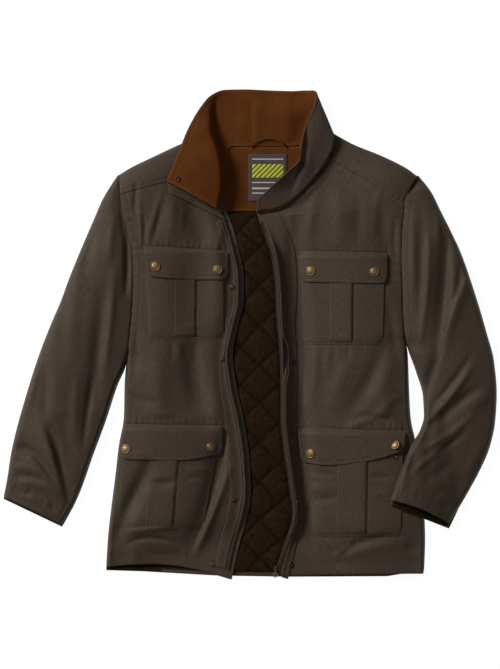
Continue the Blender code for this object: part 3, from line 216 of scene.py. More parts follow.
# ---------------------------------------------------------------- curves and heights
def join(*parts):
    """Points from separate arrays of their coordinates."""
    return np.stack(np.broadcast_arrays(*parts), axis=-1)


def unit(vectors):
    return vectors / np.maximum(np.linalg.norm(vectors, axis=-1, keepdims=True), 1e-9)


def distances(points, axis=0):
    """Distance of each point of a line or grid from the first one along an axis."""
    total = np.cumsum(np.linalg.norm(np.diff(points, axis=axis), axis=-1), axis=axis)
    return np.concatenate([np.zeros_like(total.take([0], axis)), total], axis=axis)


def flow(table, at):
    """Monotone cubic curve through rows of (place, value)."""
    keys, values = np.asarray(table, float).T
    step = np.diff(keys)
    rise = np.diff(values) / step
    before, after = rise[:-1], rise[1:]
    same_way = before * after > 0
    total = np.where(same_way, before + after, 1.0)
    slope = np.concatenate([rise[:1], np.where(same_way, 2 * before * after / total, 0.0), rise[-1:]])
    at = np.clip(at, keys[0], keys[-1])
    i = np.clip(np.searchsorted(keys, at) - 1, 0, len(step) - 1)
    t = (at - keys[i]) / step[i]
    return (values[i] * (1 + 2 * t) * (1 - t) ** 2 + slope[i] * step[i] * t * (1 - t) ** 2
            + values[i + 1] * t * t * (3 - 2 * t) + slope[i + 1] * step[i] * t * t * (t - 1))


def flow_points(place, points, at):
    """Smooth curve through points whose places along it are known."""
    return np.stack([flow(join(place, column), at) for column in points.T], axis=-1)


def line_points(place, points, at):
    return np.stack([np.interp(at, place, column) for column in points.T], axis=-1)


def ease(q):
    """Smooth step from 0 to 1, level at both ends."""
    q = np.clip(q, 0.0, 1.0)
    return q * q * (3 - 2 * q)


def roll(q):
    """Quarter-round rise from 0 to 1, upright at its foot."""
    return np.sqrt(1 - (1 - np.clip(q, 0.0, 1.0)) ** 2)


def hill(gap, width):
    """Soft bump, 1 where the gap is 0."""
    return np.exp(-(gap / width) ** 2)


def ditch(gap, depth, width=1.6):
    """Soft groove, such as a line of stitches draws in."""
    return -depth * hill(gap, width)


def edge_rise(gap, tight, wide, share):
    """Rise from an edge: a tight roll for a share of the height, then a long gentle slope."""
    return share * roll(gap / tight) + (1 - share) * np.sin(np.clip(gap / wide, 0, 1) * math.pi / 2)


def tucked(gap):
    """1 at a seam, falling to 0 where the cloth beside it has risen to its full height."""
    return 1 - ease(gap / TUCK)


def line_gap(x, y, line):
    """Distance from points to a polyline, how far along it they lie (0 to 1), and on which hand."""
    nearest, along, hand = np.full(np.shape(x), 1e9), np.zeros(np.shape(x)), np.ones(np.shape(x))
    line = np.asarray(line, float)
    for k, ((cx, cy), (dx, dy)) in enumerate(zip(line, np.diff(line, axis=0))):
        t = np.clip(((x - cx) * dx + (y - cy) * dy) / (dx * dx + dy * dy), 0, 1)
        gap = np.hypot(x - cx - t * dx, y - cy - t * dy)
        closer = gap < nearest
        nearest = np.where(closer, gap, nearest)
        along = np.where(closer, (k + t) / (len(line) - 1), along)
        hand = np.where(closer, np.sign(dx * (y - cy) - dy * (x - cx)), hand)
    return nearest, along, hand


def fold_height(folds, x, y):
    """Sum of the soft ridges and troughs of a fold table; a leaning one is steeper on one hand."""
    total = np.zeros(np.shape(x))
    for fold in folds:
        start, middle, end = np.array(fold[:6], float).reshape(3, 1, 2)
        line = bend(start, middle, end)
        reach = 3 * fold.width * (1 + abs(fold.lean))
        (low_x, low_y), (high_x, high_y) = line.min(axis=0) - reach, line.max(axis=0) + reach
        near = (x > low_x) & (x < high_x) & (y > low_y) & (y < high_y)
        if near.any():
            gap, along, hand = line_gap(x[near], y[near], line)
            ends = np.sin(math.pi * along) ** 0.85
            total[near] += fold.height * hill(gap, fold.width * (1 + fold.lean * hand)) * ends
    return total


def bend(start, middle, end):
    """Curve of nine points from one point to another that leans towards a middle one."""
    t = np.linspace(0, 1, 9)[:, None]
    return (1 - t) ** 2 * start + 2 * t * (1 - t) * middle + t * t * end


def pucker(x, y, line, depth, pitch, reach, seed):
    """Uneven ripple along a seam line, fading away from it."""
    gap, along, _ = line_gap(x, y, line)
    phase = along * distances(line)[-1] / pitch * math.tau + seed
    ripple = np.sin(phase) + 0.6 * np.sin(phase * 1.73 + 1.3) + 0.4 * np.sin(phase * 0.61 + seed)
    return depth * ripple * hill(gap, reach)


class Front:
    """Height of one front with its yoke over the surface."""

    def __init__(self, front, yoke, folds, armpit_y, hem_drop, hem_ridge, edge_fall, dips, shoulder):
        rows = front + yoke[1:]
        self.side_line = [(row.out_y, row.out_x) for row in rows]
        self.edge_line = sorted((row.in_y, row.in_x) for row in rows)
        self.folds, self.armpit_y, self.dips, self.shoulder = folds, armpit_y, dips, sorted(shoulder)
        self.hem_drop, self.hem_ridge, self.edge_fall = hem_drop, hem_ridge, edge_fall

    def side(self, y):
        return flow(self.side_line, y)

    def edge(self, y):
        return flow(self.edge_line, y)

    def top(self, x):
        return flow(self.shoulder, x)

    def height(self, x, y):
        side_gap, edge_gap = np.abs(x - self.side(y)), np.abs(x - self.edge(y))
        arm = ease((y - self.armpit_y) / 60 + 0.5)
        side_z = REST + (ARMHOLE_Z - REST) * arm
        side = side_z + (CROWN - side_z) * edge_rise(side_gap, 8.0, 70.0, 0.7 * (1 - arm))
        shoulder = edge_rise(self.top(x) - y, 9.0, 45.0, 0.6)
        inward = roll(side_gap / SIDE_ROLL)
        z = REST + (side - REST) * shoulder
        z -= FRONT_DROP * ease(1 - edge_gap / FRONT_REACH) * inward * shoulder
        z -= self.edge_fall * ease(1 - edge_gap / EDGE_REACH) * inward * shoulder * ease((y - 40) / 60)
        z -= self.hem_drop * ease(1 - (y - 5) / HEM_REACH) * inward
        ridge = self.hem_ridge * ease((y + 5) / 40) + EDGE_RIDGE * ease((y - 60) / 60)
        z += ridge * hill(edge_gap - 8, 8) * ease((640 - y) / 60)
        z += fold_height(self.folds, x, y) * roll(side_gap / 20) * shoulder
        z -= flow(self.dips, y) * tucked(side_gap) * arm * shoulder
        lowest = FRONT_LOWEST + (HEM_LOWEST - FRONT_LOWEST) * ease((80 - y) / 40) * (self.hem_ridge > 0)
        low = REST + (lowest - REST) * inward * shoulder
        return low + SOFT * np.logaddexp(0, (z - low) / SOFT) - SOFT * np.logaddexp(0, (REST - low) / SOFT)

    def over(self, x, y):
        """Height where the body has this front, and 0 elsewhere."""
        inside = ((x - self.side(y)) * (x - self.edge(y)) <= 0) & (y > 4) & (y < self.top(x))
        return np.where(inside, self.height(x, y), 0.0)


RIGHT = Front(RIGHT_FRONT, RIGHT_YOKE, RIGHT_FRONT_FOLDS, armpit_y=392, hem_drop=18.0, hem_ridge=0.0,
              edge_fall=8.0, dips=[(392, 0.6), (722, 0.6)],
              shoulder=[(-243, 725), (-224, 737), (-179, 759), (-134, 780), (-100, 794), (-74, 802)])
LEFT = Front(LEFT_FRONT, LEFT_YOKE, LEFT_FRONT_FOLDS, armpit_y=418, hem_drop=13.0, hem_ridge=5.0,
             edge_fall=0.0, dips=[(418, 1.6), (500, 1.2), (722, 0.6)],
             shoulder=[(293, 723), (274, 737), (230, 759), (176, 781), (142, 800)])


def body_top(x, y):
    return np.maximum(RIGHT.over(x, y), LEFT.over(x, y))


def tent(top, x, y, flat, reach, fall):
    """Height of cloth stretched over a height function."""
    best = top(x, y)
    for radius in (flat / 2, flat, (flat + reach) / 2, reach):
        for turn in np.arange(8) * math.tau / 8:
            near = top(x + radius * math.cos(turn), y + radius * math.sin(turn))
            best = np.maximum(best, np.where(near > 0, near - fall * max(0.0, radius - flat), 0))
    return best


# ---------------------------------------------------------------- materials
class Value:
    """A node's output, which adds, multiplies and compares like a number."""

    def __init__(self, socket):
        self.socket, self.tree = socket, socket.id_data

    def maths(self, operation, other):
        return add_node(self.tree, "Math", {0: self, 1: other}, operation=operation)

    def __add__(self, other):
        return self.maths("ADD", other)

    def __sub__(self, other):
        return self.maths("SUBTRACT", other)

    def __mul__(self, other):
        return self.maths("MULTIPLY", other)

    def __gt__(self, other):
        return self.maths("GREATER_THAN", other)

    def __lt__(self, other):
        return self.maths("LESS_THAN", other)


def plug(value, socket):
    """Set a socket to a number or colour, or link another node's output to it."""
    if isinstance(value, Value):
        value.tree.links.new(value.socket, socket)
    else:
        socket.default_value = (*value, 1.0) if socket.type == "RGBA" else value


def add_node(tree, kind, inputs=None, output=0, **settings):
    """New shader node; returns one of its outputs."""
    made = tree.nodes.new("ShaderNode" + kind)
    for key, value in settings.items():
        setattr(made, key, value)
    for key, value in (inputs or {}).items():
        plug(value, made.inputs[key])
    return Value(made.outputs[output])


def blend(share, a, b):
    """Mix two colours."""
    return add_node(share.tree, "Mix", {0: share, 6: a, 7: b}, 2, data_type="RGBA")


def tint(colour, factor):
    return tuple(c * factor for c in colour)


def wave(value, pitch):
    return (value * (math.tau / pitch)).maths("SINE", 0.0)


def mottle(vector, size_mm, detail, stretch=(1, 1, 1)):
    """Noise with patches of about a size."""
    scaled = add_node(vector.tree, "Mapping", {"Vector": vector, "Scale": stretch})
    return add_node(vector.tree, "TexNoise", {"Vector": scaled, "Scale": 1000.0 / size_mm, "Detail": detail})


def spread(value, low, high):
    return add_node(value.tree, "MapRange", {"Value": value, "From Min": low, "From Max": high})


def start(name, roughness, metallic=0.0, sheen=0.0, specular=0.2):
    """New material with its shader."""
    material = bpy.data.materials.new(name)
    material.use_nodes = True
    shader = material.node_tree.nodes["Principled BSDF"]
    set_looks(shader, {"Roughness": roughness, "Metallic": metallic, "Sheen Weight": sheen,
                       "Specular IOR Level": specular})
    return material, shader


def set_looks(shader, values):
    for key, value in values.items():
        plug(value, shader.inputs[key])


def cloth_map(shader):
    """Position on the cloth, and its two coordinates in millimetres."""
    vector = add_node(shader.id_data, "UVMap", uv_map="cloth")
    split = add_node(shader.id_data, "SeparateXYZ", {0: vector}).socket.node
    return vector, Value(split.outputs[0]) * 1000.0, Value(split.outputs[1]) * 1000.0


def rub_and_seam_shade(shader):
    """1 at a rubbed edge, and under 0 where painted shade darkens a seam."""
    return add_node(shader.id_data, "Attribute", output="Fac", attribute_name="rub_and_seam_shade")


def bump(shader, height, distance_mm, strength):
    plug(add_node(shader.id_data, "Bump", {"Height": height, "Distance": distance_mm * 0.001,
                                           "Strength": strength}), shader.inputs["Normal"])


def waxed_cotton(name, olive, brown):
    material, shader = start(name, 0.62, sheen=0.015, specular=0.12)
    vector, u, v = cloth_map(shader)
    rubbing_and_shade = rub_and_seam_shade(shader)
    broad = spread(mottle(vector, 90, 2.0), 0.35, 0.65)
    patchy = spread(mottle(vector, 14, 4.0), 0.3, 0.7)
    warp = spread(mottle(vector, 2.6, 2.0, (1.0, 0.3, 1.0)), 0.3, 0.7)
    weft = spread(mottle(vector, 2.0, 2.0, (0.4, 1.0, 1.0)), 0.3, 0.7)
    slub = (warp + weft) * 0.5
    dark, light = tint(brown, 0.7), tint(olive, 1.5)
    colour = blend(patchy * 0.35, blend(broad, olive, brown), dark)
    colour = blend((warp - 1.0) * -0.3, blend(slub * 0.7, colour, light), dark)
    # Rubbed edges turn lighter; where the attribute falls below 0 the colour takes painted seam shade, a deep
    # brown.
    colour = blend(rubbing_and_shade * -0.8, blend(rubbing_and_shade * 0.2, colour, light), tint(brown, 0.35))
    set_looks(shader, {"Base Color": colour, "Roughness": patchy * 0.14 + 0.52, "Sheen Roughness": 0.4,
                       "Sheen Tint": (1.0, 0.85, 0.65)})
    twill = wave(u + v, 1.3) + wave(u - v, 0.9) * 0.4
    bump(shader, twill * 0.3 + slub * 1.2, 0.12, 0.8)
    return material


def corduroy(name):
    material, shader = start(name, 0.9, sheen=0.06, specular=0.08)
    vector, u, _ = cloth_map(shader)
    ribs = wave(u, 8.8).maths("ABSOLUTE", 0.0)
    nap = mottle(vector, 2.2, 3.0, (1.0, 0.3, 1.0))
    patchy = spread(mottle(vector, 30, 3.0), 0.3, 0.7)
    colour = blend(ribs, (0.058, 0.0172, 0.0029), (0.104, 0.033, 0.0064))
    colour = blend(patchy * 0.6, colour, (0.058, 0.0168, 0.003))
    colour = blend(rub_and_seam_shade(shader) * 0.35, colour, (0.15, 0.053, 0.012))
    set_looks(shader, {"Base Color": colour, "Sheen Tint": (0.7, 0.25, 0.06)})
    bump(shader, ribs + nap * 1.1, 0.26, 0.7)
    return material


def quilted_lining(name):
    material, shader = start(name, 0.6, specular=0.05)
    vector, u, _ = cloth_map(shader)
    crinkle = mottle(vector, 9, 4.0)
    colour = blend(spread(crinkle, 0.3, 0.7), (0.0095, 0.0046, 0.0014), (0.0205, 0.0105, 0.0038))
    # Painted shade: the quilting seams darken to near black where the attribute falls below 0.
    plug(blend(rub_and_seam_shade(shader) * -0.85, colour, (0.0035, 0.0018, 0.0006)), shader.inputs["Base Color"])
    bump(shader, crinkle + wave(u, 0.8) * 0.04, 0.9, 0.6)
    return material


def plain_cloth(name, colour):
    material, shader = start(name, 0.75)
    vector, u, v = cloth_map(shader)
    noise = spread(mottle(vector, 3, 3.0), 0.3, 0.7)
    plug(blend(noise, tint(colour, 0.8), tint(colour, 1.25)), shader.inputs["Base Color"])
    bump(shader, wave(u, 0.8) + wave(v, 0.8), 0.08, 0.7)
    return material


def aged_brass(name, bright, dark, rough):
    material, shader = start(name, rough, metallic=1.0, specular=0.5)
    place = add_node(shader.id_data, "TexCoord", output="Object")
    noise = spread(mottle(place, 2.4, 4.0), 0.35, 0.62)
    set_looks(shader, {"Base Color": blend(noise, bright, dark), "Roughness": noise * 0.2 + (rough - 0.1)})
    bump(shader, noise, 0.06, 0.5)
    return material


def label_cloth(name):
    """Woven label: dark ground, a lime band of slanted stripes and a few pale lines."""
    material, shader = start(name, 0.7)
    _, u, v = cloth_map(shader)

    def inside(low, high, left, right):
        return (v > low) * (v < high) * (u > left) * (u < right)

    stripes = inside(18, 42, 6, 62) * (wave(u + v, 9.0) > -0.35)
    colour = blend(stripes, (0.062, 0.046, 0.048), (0.46, 0.47, 0.02))
    for place in ((50, 52, 6, 62), (8, 10, 6, 62), (60, 63, 6, 40), (69, 71, 6, 52)):
        colour = blend(inside(*place), colour, (0.42, 0.4, 0.36))
    plug(colour, shader.inputs["Base Color"])
    bump(shader, wave(u, 0.7) + wave(v, 0.9), 0.08, 0.6)
    return material


Finish = namedtuple("Finish", "material slot")
SHELL = Finish(waxed_cotton("waxed_cotton", (0.0495, 0.0358, 0.0232), (0.0425, 0.029, 0.0218)), "shell")
CORD = Finish(corduroy("corduroy_brown"), "corduroy")
LINING = Finish(quilted_lining("lining_quilted"), "lining")
TAPE = Finish(plain_cloth("zip_tape_cloth", (0.036, 0.025, 0.019)), "zip_tape")
THREAD = Finish(plain_cloth("thread_olive", (0.072, 0.056, 0.039)), "shell")
BADGE_CLOTH = Finish(plain_cloth("badge_cloth", (0.07, 0.031, 0.021)), "sleeve_patch")
LABEL = Finish(label_cloth("label_woven"), "label")
BRASS = Finish(aged_brass("brass_aged", (0.3, 0.208, 0.098), (0.16, 0.104, 0.046), 0.6), "brass")
DARK_BRASS = Finish(aged_brass("brass_dark", (0.12, 0.08, 0.04), (0.045, 0.029, 0.016), 0.5), "brass")
TEETH = Finish(aged_brass("brass_teeth", (0.13, 0.096, 0.055), (0.06, 0.042, 0.024), 0.55), "brass")
DULL_TEETH = Finish(aged_brass("brass_teeth_dull", (0.06, 0.043, 0.027), (0.032, 0.022, 0.014), 0.6), "brass")


# ---------------------------------------------------------------- meshes and cloth walls
TREES = {}          # outer skins, for resting later pieces on them
GOES_WITH = {}      # narrow pieces by the name of the sheet they are sewn to


def to_metres(points):
    return (np.asarray(points, float) + LAY_ORIGIN) * 0.001


def add_object(name, data):
    made = bpy.data.objects.new(name, data)
    bpy.context.scene.collection.objects.link(made)
    return made


def declare(made, node=None, body="jacket"):
    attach(made, body)
    if node:
        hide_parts(node)


def make_mesh(name, verts, faces, finish, uv=None, rubbing_and_shade=None):
    """Object from arrays in garment millimetres, all its faces with the same number of corners."""
    mesh = bpy.data.meshes.new(name)
    faces = np.asarray(faces, np.int32)
    corners = faces.ravel()
    mesh.vertices.add(len(verts))
    mesh.vertices.foreach_set("co", to_metres(verts).astype(np.float32).ravel())
    mesh.loops.add(len(corners))
    mesh.loops.foreach_set("vertex_index", corners)
    mesh.polygons.add(len(faces))
    mesh.polygons.foreach_set("loop_start", np.arange(0, len(corners), faces.shape[1], dtype=np.int32))
    mesh.update(calc_edges=True)
    mesh.validate()
    uv = verts[:, :2] if uv is None else uv
    mesh.uv_layers.new(name="cloth").data.foreach_set("uv", (uv[corners] * 0.001).astype(np.float32).ravel())
    # The per-point attribute holds rubbed edges above 0 and painted seam shade below 0.
    if rubbing_and_shade is not None:
        mesh.attributes.new("rub_and_seam_shade", "FLOAT", "POINT").data.foreach_set("value", rubbing_and_shade.astype(np.float32))
    mesh.shade_smooth()
    mesh.materials.append(finish.material)
    return add_object(name, mesh)


def fix_outward(made, fill_holes=False):
    """Turn a mesh's faces outward, with its open ends filled first where asked."""
    bm = bmesh.new()
    bm.from_mesh(made.data)
    if fill_holes:
        bmesh.ops.holes_fill(bm, edges=[e for e in bm.edges if e.is_boundary])
    if bm.calc_volume(signed=True) < 0:
        bmesh.ops.reverse_faces(bm, faces=bm.faces)
    bm.to_mesh(made.data)
    bm.free()


def grid_quads(rows, cols, first=0):
    index = first + np.arange(rows * cols).reshape(rows, cols)
    return join(index[:-1, :-1], index[:-1, 1:], index[1:, 1:], index[1:, :-1]).reshape(-1, 4)


def grid_normals(points):
    normal = unit(np.cross(np.gradient(points, axis=1), np.gradient(points, axis=0)))
    return -normal if np.mean(normal[..., 2]) < 0 else normal


def border_of(rows, cols):
    """Row and column of each grid point on the border, in order round it."""
    ring = [(0, c) for c in range(cols - 1)] + [(r, cols - 1) for r in range(rows - 1)]
    ring += [(rows - 1, c) for c in range(cols - 1, 0, -1)] + [(r, 0) for r in range(rows - 1, 0, -1)]
    return np.array(ring).T


def cut_of(points):
    """Width, length and area of the flat cut of a grid of cloth, in metres."""
    width, length = (distances(points, axis).take(-1, axis).max() * 0.001 for axis in (1, 0))
    a, b = points[1:, 1:] - points[:-1, :-1], points[1:, :-1] - points[:-1, 1:]
    area = np.linalg.norm(np.cross(a, b), axis=-1).sum() / 2
    return width, length, min(area * 1e-6, width * length)


def cloth(name, node, finish, rests_on, outer, thick, inner=None, lowest=None, uv=None, edge_wear=4.0,
          seam_shade=0.0, host=None):
    """Closed wall with rounded rims from the grid of its outer points, in place of a CAD node.

    It is attached to the jacket, and listed under its host where it is a narrow piece sewn to one. Its edges
    are rubbed lighter over a reach of edge_wear, and painted shade darkens its seams where asked.
    """
    rows, cols = outer.shape[:2]
    cut_of(outer)
    if inner is None:
        inner = outer - grid_normals(outer) * thick
    if lowest is not None:
        inner[..., 2] = np.maximum(inner[..., 2], lowest)
    r, c = border_of(rows, cols)
    outward = outer[r, c] - outer[np.clip(r, 1, rows - 2), np.clip(c, 1, cols - 2)]
    outward[:, 2] = 0
    rim = (outer[r, c] + inner[r, c]) / 2 + unit(outward) * thick * 0.28
    outer, inner = outer.copy(), inner.copy()
    outer[r, c] -= (outer[r, c] - inner[r, c]) * 0.2
    inner[r, c] += (outer[r, c] - inner[r, c]) * 0.2
    count, ring = rows * cols, r * cols + c
    top, side, low = ring, 2 * count + np.arange(len(ring)), count + ring
    faces = [grid_quads(rows, cols), grid_quads(rows, cols, count)[:, ::-1]]
    faces += [join(a, b, np.roll(b, -1), np.roll(a, -1)) for a, b in ((top, side), (side, low))]
    up, over = distances(outer, 0), distances(outer, 1)
    if uv is None:
        uv = join(over - over[:, -1:] / 2, up)
    up = up.mean(axis=1)[:, None]
    from_edge = np.minimum(np.minimum(up, up[-1] - up), np.minimum(over, over[:, -1:] - over))
    full = 1.0 if edge_wear else 0.0
    # Rubbed edges count up from 0, and painted seam shade counts down.
    rubbing_and_shade = full * hill(from_edge, edge_wear or 1.0) - seam_shade
    made = make_mesh(name, np.concatenate([outer.reshape(-1, 3), inner.reshape(-1, 3), rim]),
                     np.concatenate(faces), finish, np.concatenate([uv.reshape(-1, 2)] * 2 + [uv[r, c]]),
                     np.concatenate([rubbing_and_shade.ravel(), np.zeros(count), np.full(len(ring), full)]))
    fix_outward(made)
    TREES[name] = BVHTree.FromPolygons(outer.reshape(-1, 3).tolist(), grid_quads(rows, cols).tolist())
    declare(made, node)
    if host:
        GOES_WITH.setdefault(host, []).append(made)
    return made


# ---------------------------------------------------------------- stitches and teeth
TOOTH_WIDTH, TOOTH_HEIGHT = 0.95, 1.0


class Bits:
    """Many small copies of one shape joined into one mesh."""

    def __init__(self, verts, faces):
        self.verts, self.faces, self.parts = np.array(verts, float), np.array(faces), []

    def add(self, place, along, up):
        side = unit(np.cross(up, along))
        self.parts.append(place + self.verts @ np.array([np.cross(side, up), side, up]))

    def finish(self, name, finish):
        verts = np.concatenate(self.parts)
        first = np.arange(len(self.parts))[:, None, None] * len(self.verts)
        faces = (self.faces + first).reshape(-1, self.faces.shape[1])
        declare(make_mesh(name, verts, faces, finish, rubbing_and_shade=np.zeros(len(verts))))


def stitch_bits(length=2.3, width=0.75, tall=0.5):
    """Stitches, each a small ridge tapering to both ends."""
    a, b = length / 2, width / 2
    verts = [(-a, 0, -0.15), (a, 0, -0.15), (0, b, 0), (0, -b, 0), (-a * 0.5, 0, tall), (a * 0.5, 0, tall)]
    return Bits(verts, [(0, 3, 4), (3, 5, 4), (3, 1, 5), (1, 2, 5), (2, 4, 5), (2, 0, 4)])


def tooth_bits(reach):
    """Zip teeth, each a block that narrows upwards and reaches across its tape."""
    around = [(-1, -1), (1, -1), (1, 1), (-1, 1)]
    verts = [(x * TOOTH_WIDTH * 0.5, y * reach * 0.5, 0) for x, y in around]
    verts += [(x * TOOTH_WIDTH * 0.3, y * reach * 0.4, TOOTH_HEIGHT) for x, y in around]
    return Bits(verts, [(4, 5, 6, 7), (0, 1, 5, 4), (1, 2, 6, 5), (2, 3, 7, 6), (3, 0, 4, 7), (3, 2, 1, 0)])


STITCHES = stitch_bits()


def drop(names, x, y):
    """Highest point and normal of the named pieces under a plan point, or None twice."""
    best, normal = None, None
    for name in names:
        hit, face_normal, _, _ = TREES[name].ray_cast(Vector((x, y, 200)), Vector((0, 0, -1)))
        if hit is not None and (best is None or hit.z > best[2]):
            best, normal = np.array(hit), np.array(face_normal) * math.copysign(1, face_normal.z)
    return best, normal


def curve_points(points, step):
    """Points evenly spaced along a smooth curve through given ones."""
    points = np.asarray(points, float)
    place = distances(points)
    smooth = flow_points(place, points, np.linspace(0, place[-1], max(3, int(place[-1] / 0.8))))
    length = distances(smooth)
    return line_points(length, smooth, np.arange(step / 2, length[-1], step))


def sew(names, points, pitch=3.3, lift=0.05, bits=STITCHES):
    """A row of stitches along plan points on the named pieces."""
    path = curve_points(points, pitch)
    for k, (x, y) in enumerate(path):
        hit, normal = drop(names, x, y)
        if hit is not None:
            ahead = unit(path[min(k + 1, len(path) - 1)] - path[max(k - 1, 0)])
            bits.add(hit + normal * lift, (*ahead, 0), normal)


def left_of(points):
    """Unit vectors to the left of a plan line."""
    run = unit(np.gradient(np.asarray(points, float), axis=0))
    return join(-run[:, 1], run[:, 0])


# ---------------------------------------------------------------- plan grids
def section_points(table, rows, dense=()):
    """Edge points of a panel, its rows closer together near the given heights."""
    data = np.array(table, float)
    place = distances(data[:, :2]) + distances(data[:, 2:])
    fine = np.linspace(0, place[-1], 2000)
    middle = flow_points(place, data[:, 1::2], fine).mean(axis=1)
    total = np.cumsum(np.ones_like(fine) + sum(2.5 * hill(middle - y, 6) for y in dense))
    at = np.interp(np.linspace(total[0], total[-1], rows), total, fine)
    return flow_points(place, data[:, :2], at), flow_points(place, data[:, 2:], at)


def shares(count, pull):
    """Even steps from 0 to 1, closer together at both ends."""
    t = np.linspace(0, 1, count)
    return t - pull * np.sin(math.tau * t) / math.tau


def plan_grid(out, inner, cols, pull=0.86):
    return out[:, None] + (inner - out)[:, None] * shares(cols, pull)[:, None]


def resample(points, count):
    points = np.asarray(points, float)
    place = distances(points)
    return line_points(place, points, shares(count, 0.5) * place[-1])


def coons(bottom, top, left, right, rows, cols):
    """Grid filling four boundary lines; bottom and top run left to right, the sides upward."""
    low, high = resample(bottom, cols)[None], resample(top, cols)[None]
    near, far = resample(left, rows)[:, None], resample(right, rows)[:, None]
    s, t = shares(cols, 0.5)[None, :, None], shares(rows, 0.5)[:, None, None]
    corners = ((1 - s) * (1 - t) * low[:, :1] + s * (1 - t) * low[:, -1:]
               + (1 - s) * t * high[:, :1] + s * t * high[:, -1:])
    return (1 - t) * low + t * high + (1 - s) * near + s * far - corners


def mesh_plan(x_range, y_range, rows, cols):
    return np.meshgrid(np.linspace(*x_range, cols), np.linspace(*y_range, rows))


def rounded(before, corner, after, radius):
    """Rounded corner between two neighbours."""
    return bend(corner + unit(before - corner) * radius, corner, corner + unit(after - corner) * radius)


def patch_grid(corners, radius, rows, cols):
    """Grid and outline of a patch with square upper corners and rounded lower ones.

    Its corners run from the top left to the top right and back along the lower edge.
    """
    top_left, top_right, *lower = np.array(corners, float)
    right_arc = rounded(top_right, lower[0], lower[1], radius)
    left_arc = rounded(lower[-2], lower[-1], top_left, radius)
    half = len(right_arc) // 2
    right_side = np.concatenate([[top_right], right_arc[:half + 1]])[::-1]
    left_side = np.concatenate([left_arc[half:], [top_left]])
    bottom = np.concatenate([right_arc[half:], np.reshape(lower[1:-1], (-1, 2)), left_arc[:half + 1]])[::-1]
    place = distances(bottom)
    bottom = flow_points(place, bottom, np.linspace(0, place[-1], 60))
    grid = coons(bottom, [top_left, top_right], left_side, right_side, rows, cols)
    return grid, np.concatenate([left_side[::-1], bottom, right_side])


def on_front(shape, grid, lift):
    """Grid of plan points laid on a front, moved out by a lift."""
    x, y = grid[..., 0], grid[..., 1]
    return join(x, y, shape.height(x, y) + lift)


# ---------------------------------------------------------------- fronts and back
FRONTS = {"right": RIGHT, "left": LEFT}
# Corners from the top left to the top right and back along the lower edge; a pocket's box pleat
# lies between two lines, each given by its x at the top and at the foot.
FLAPS = {
    "chest_flap_right": [(-198, 596), (-47, 588), (-48, 536), (-98, 536), (-190, 541)],
    "chest_flap_left": [(79, 588), (238, 584), (237, 529), (180, 530), (83, 532)],
    "lower_flap_right": [(-232, 277), (-58, 274), (-58, 222), (-135, 212), (-240, 214)],
    "lower_flap_left": [(78, 270), (271, 264), (268, 229), (205, 211), (130, 203), (84, 208)],
}
POCKETS = {
    "chest_pocket_right": ([(-197, 574), (-55, 574), (-55, 430), (-190, 430)], (-142, -142), (-105, -107)),
    "chest_pocket_left": ([(86, 566), (234, 566), (230, 420), (88, 420)], (137, 136), (176, 175)),
    "lower_pocket_right": ([(-236, 254), (-62, 254), (-92, 88), (-250, 94)], (-184, -195), (-134, -148)),
    "lower_pocket_left": ([(86, 246), (268, 246), (262, 76), (90, 76)], (150, 149), (203, 199)),
}
BACK_CREASES = rows_of(Fold, [
    (-150, 700, -120, 560, -160, 420, 16, 0.5), (170, 690, 150, 540, 190, 380, 18, 0.5),
    (-60, 360, 0, 300, 70, 330, 16, 0.45), (-200, 200, -150, 120, -170, 40, 15, 0.5),
    (220, 260, 190, 150, 230, 60, 16, 0.5), (20, 620, 40, 520, 10, 430, 14, 0.4),
    (60, 210, 20, 140, 40, 60, 14, 0.4),
])
FACING_FOLDS = rows_of(Fold, [(-30, 772, -36, 720, -44, 662, 12, 0.9), (80, 770, 92, 720, 84, 664, 12, 0.9)])
LINING_X, LINING_Y = (-110.0, 150.0), (12.0, 655.0)
QUILT = dict(size=70.0, x=44.0, y=346.0, puff=3.2)
FACING_X, FACING_Y = (-64, 118), (660, 775.9)
LABEL_X, LABEL_Y, LABEL_CLOTH = (-10, 58), (678, 762), 0.9
LABEL_SEAMS = [[(-7.5, 759.5), (55.5, 759.5)], [(-7.5, 680), (-7.5, 759)], [(55.5, 680), (55.5, 759)]]
# The hanger loop: a tape from one foot over to the other.
LOOP_MIDDLE, LOOP_HALF, LOOP_RISE, LOOP_HEIGHT, LOOP_CLOTH = (25, 776.0), 31, 14, 6.6, 1.1


def bow_hem(plan, bow, share_rows):
    share = distances(plan, 1) / distances(plan, 1)[:, -1:]
    fade = np.clip(1 - np.arange(len(plan)) / (share_rows * len(plan)), 0, 1)[:, None]
    plan[..., 1] += bow * np.sin(math.pi * share) * fade


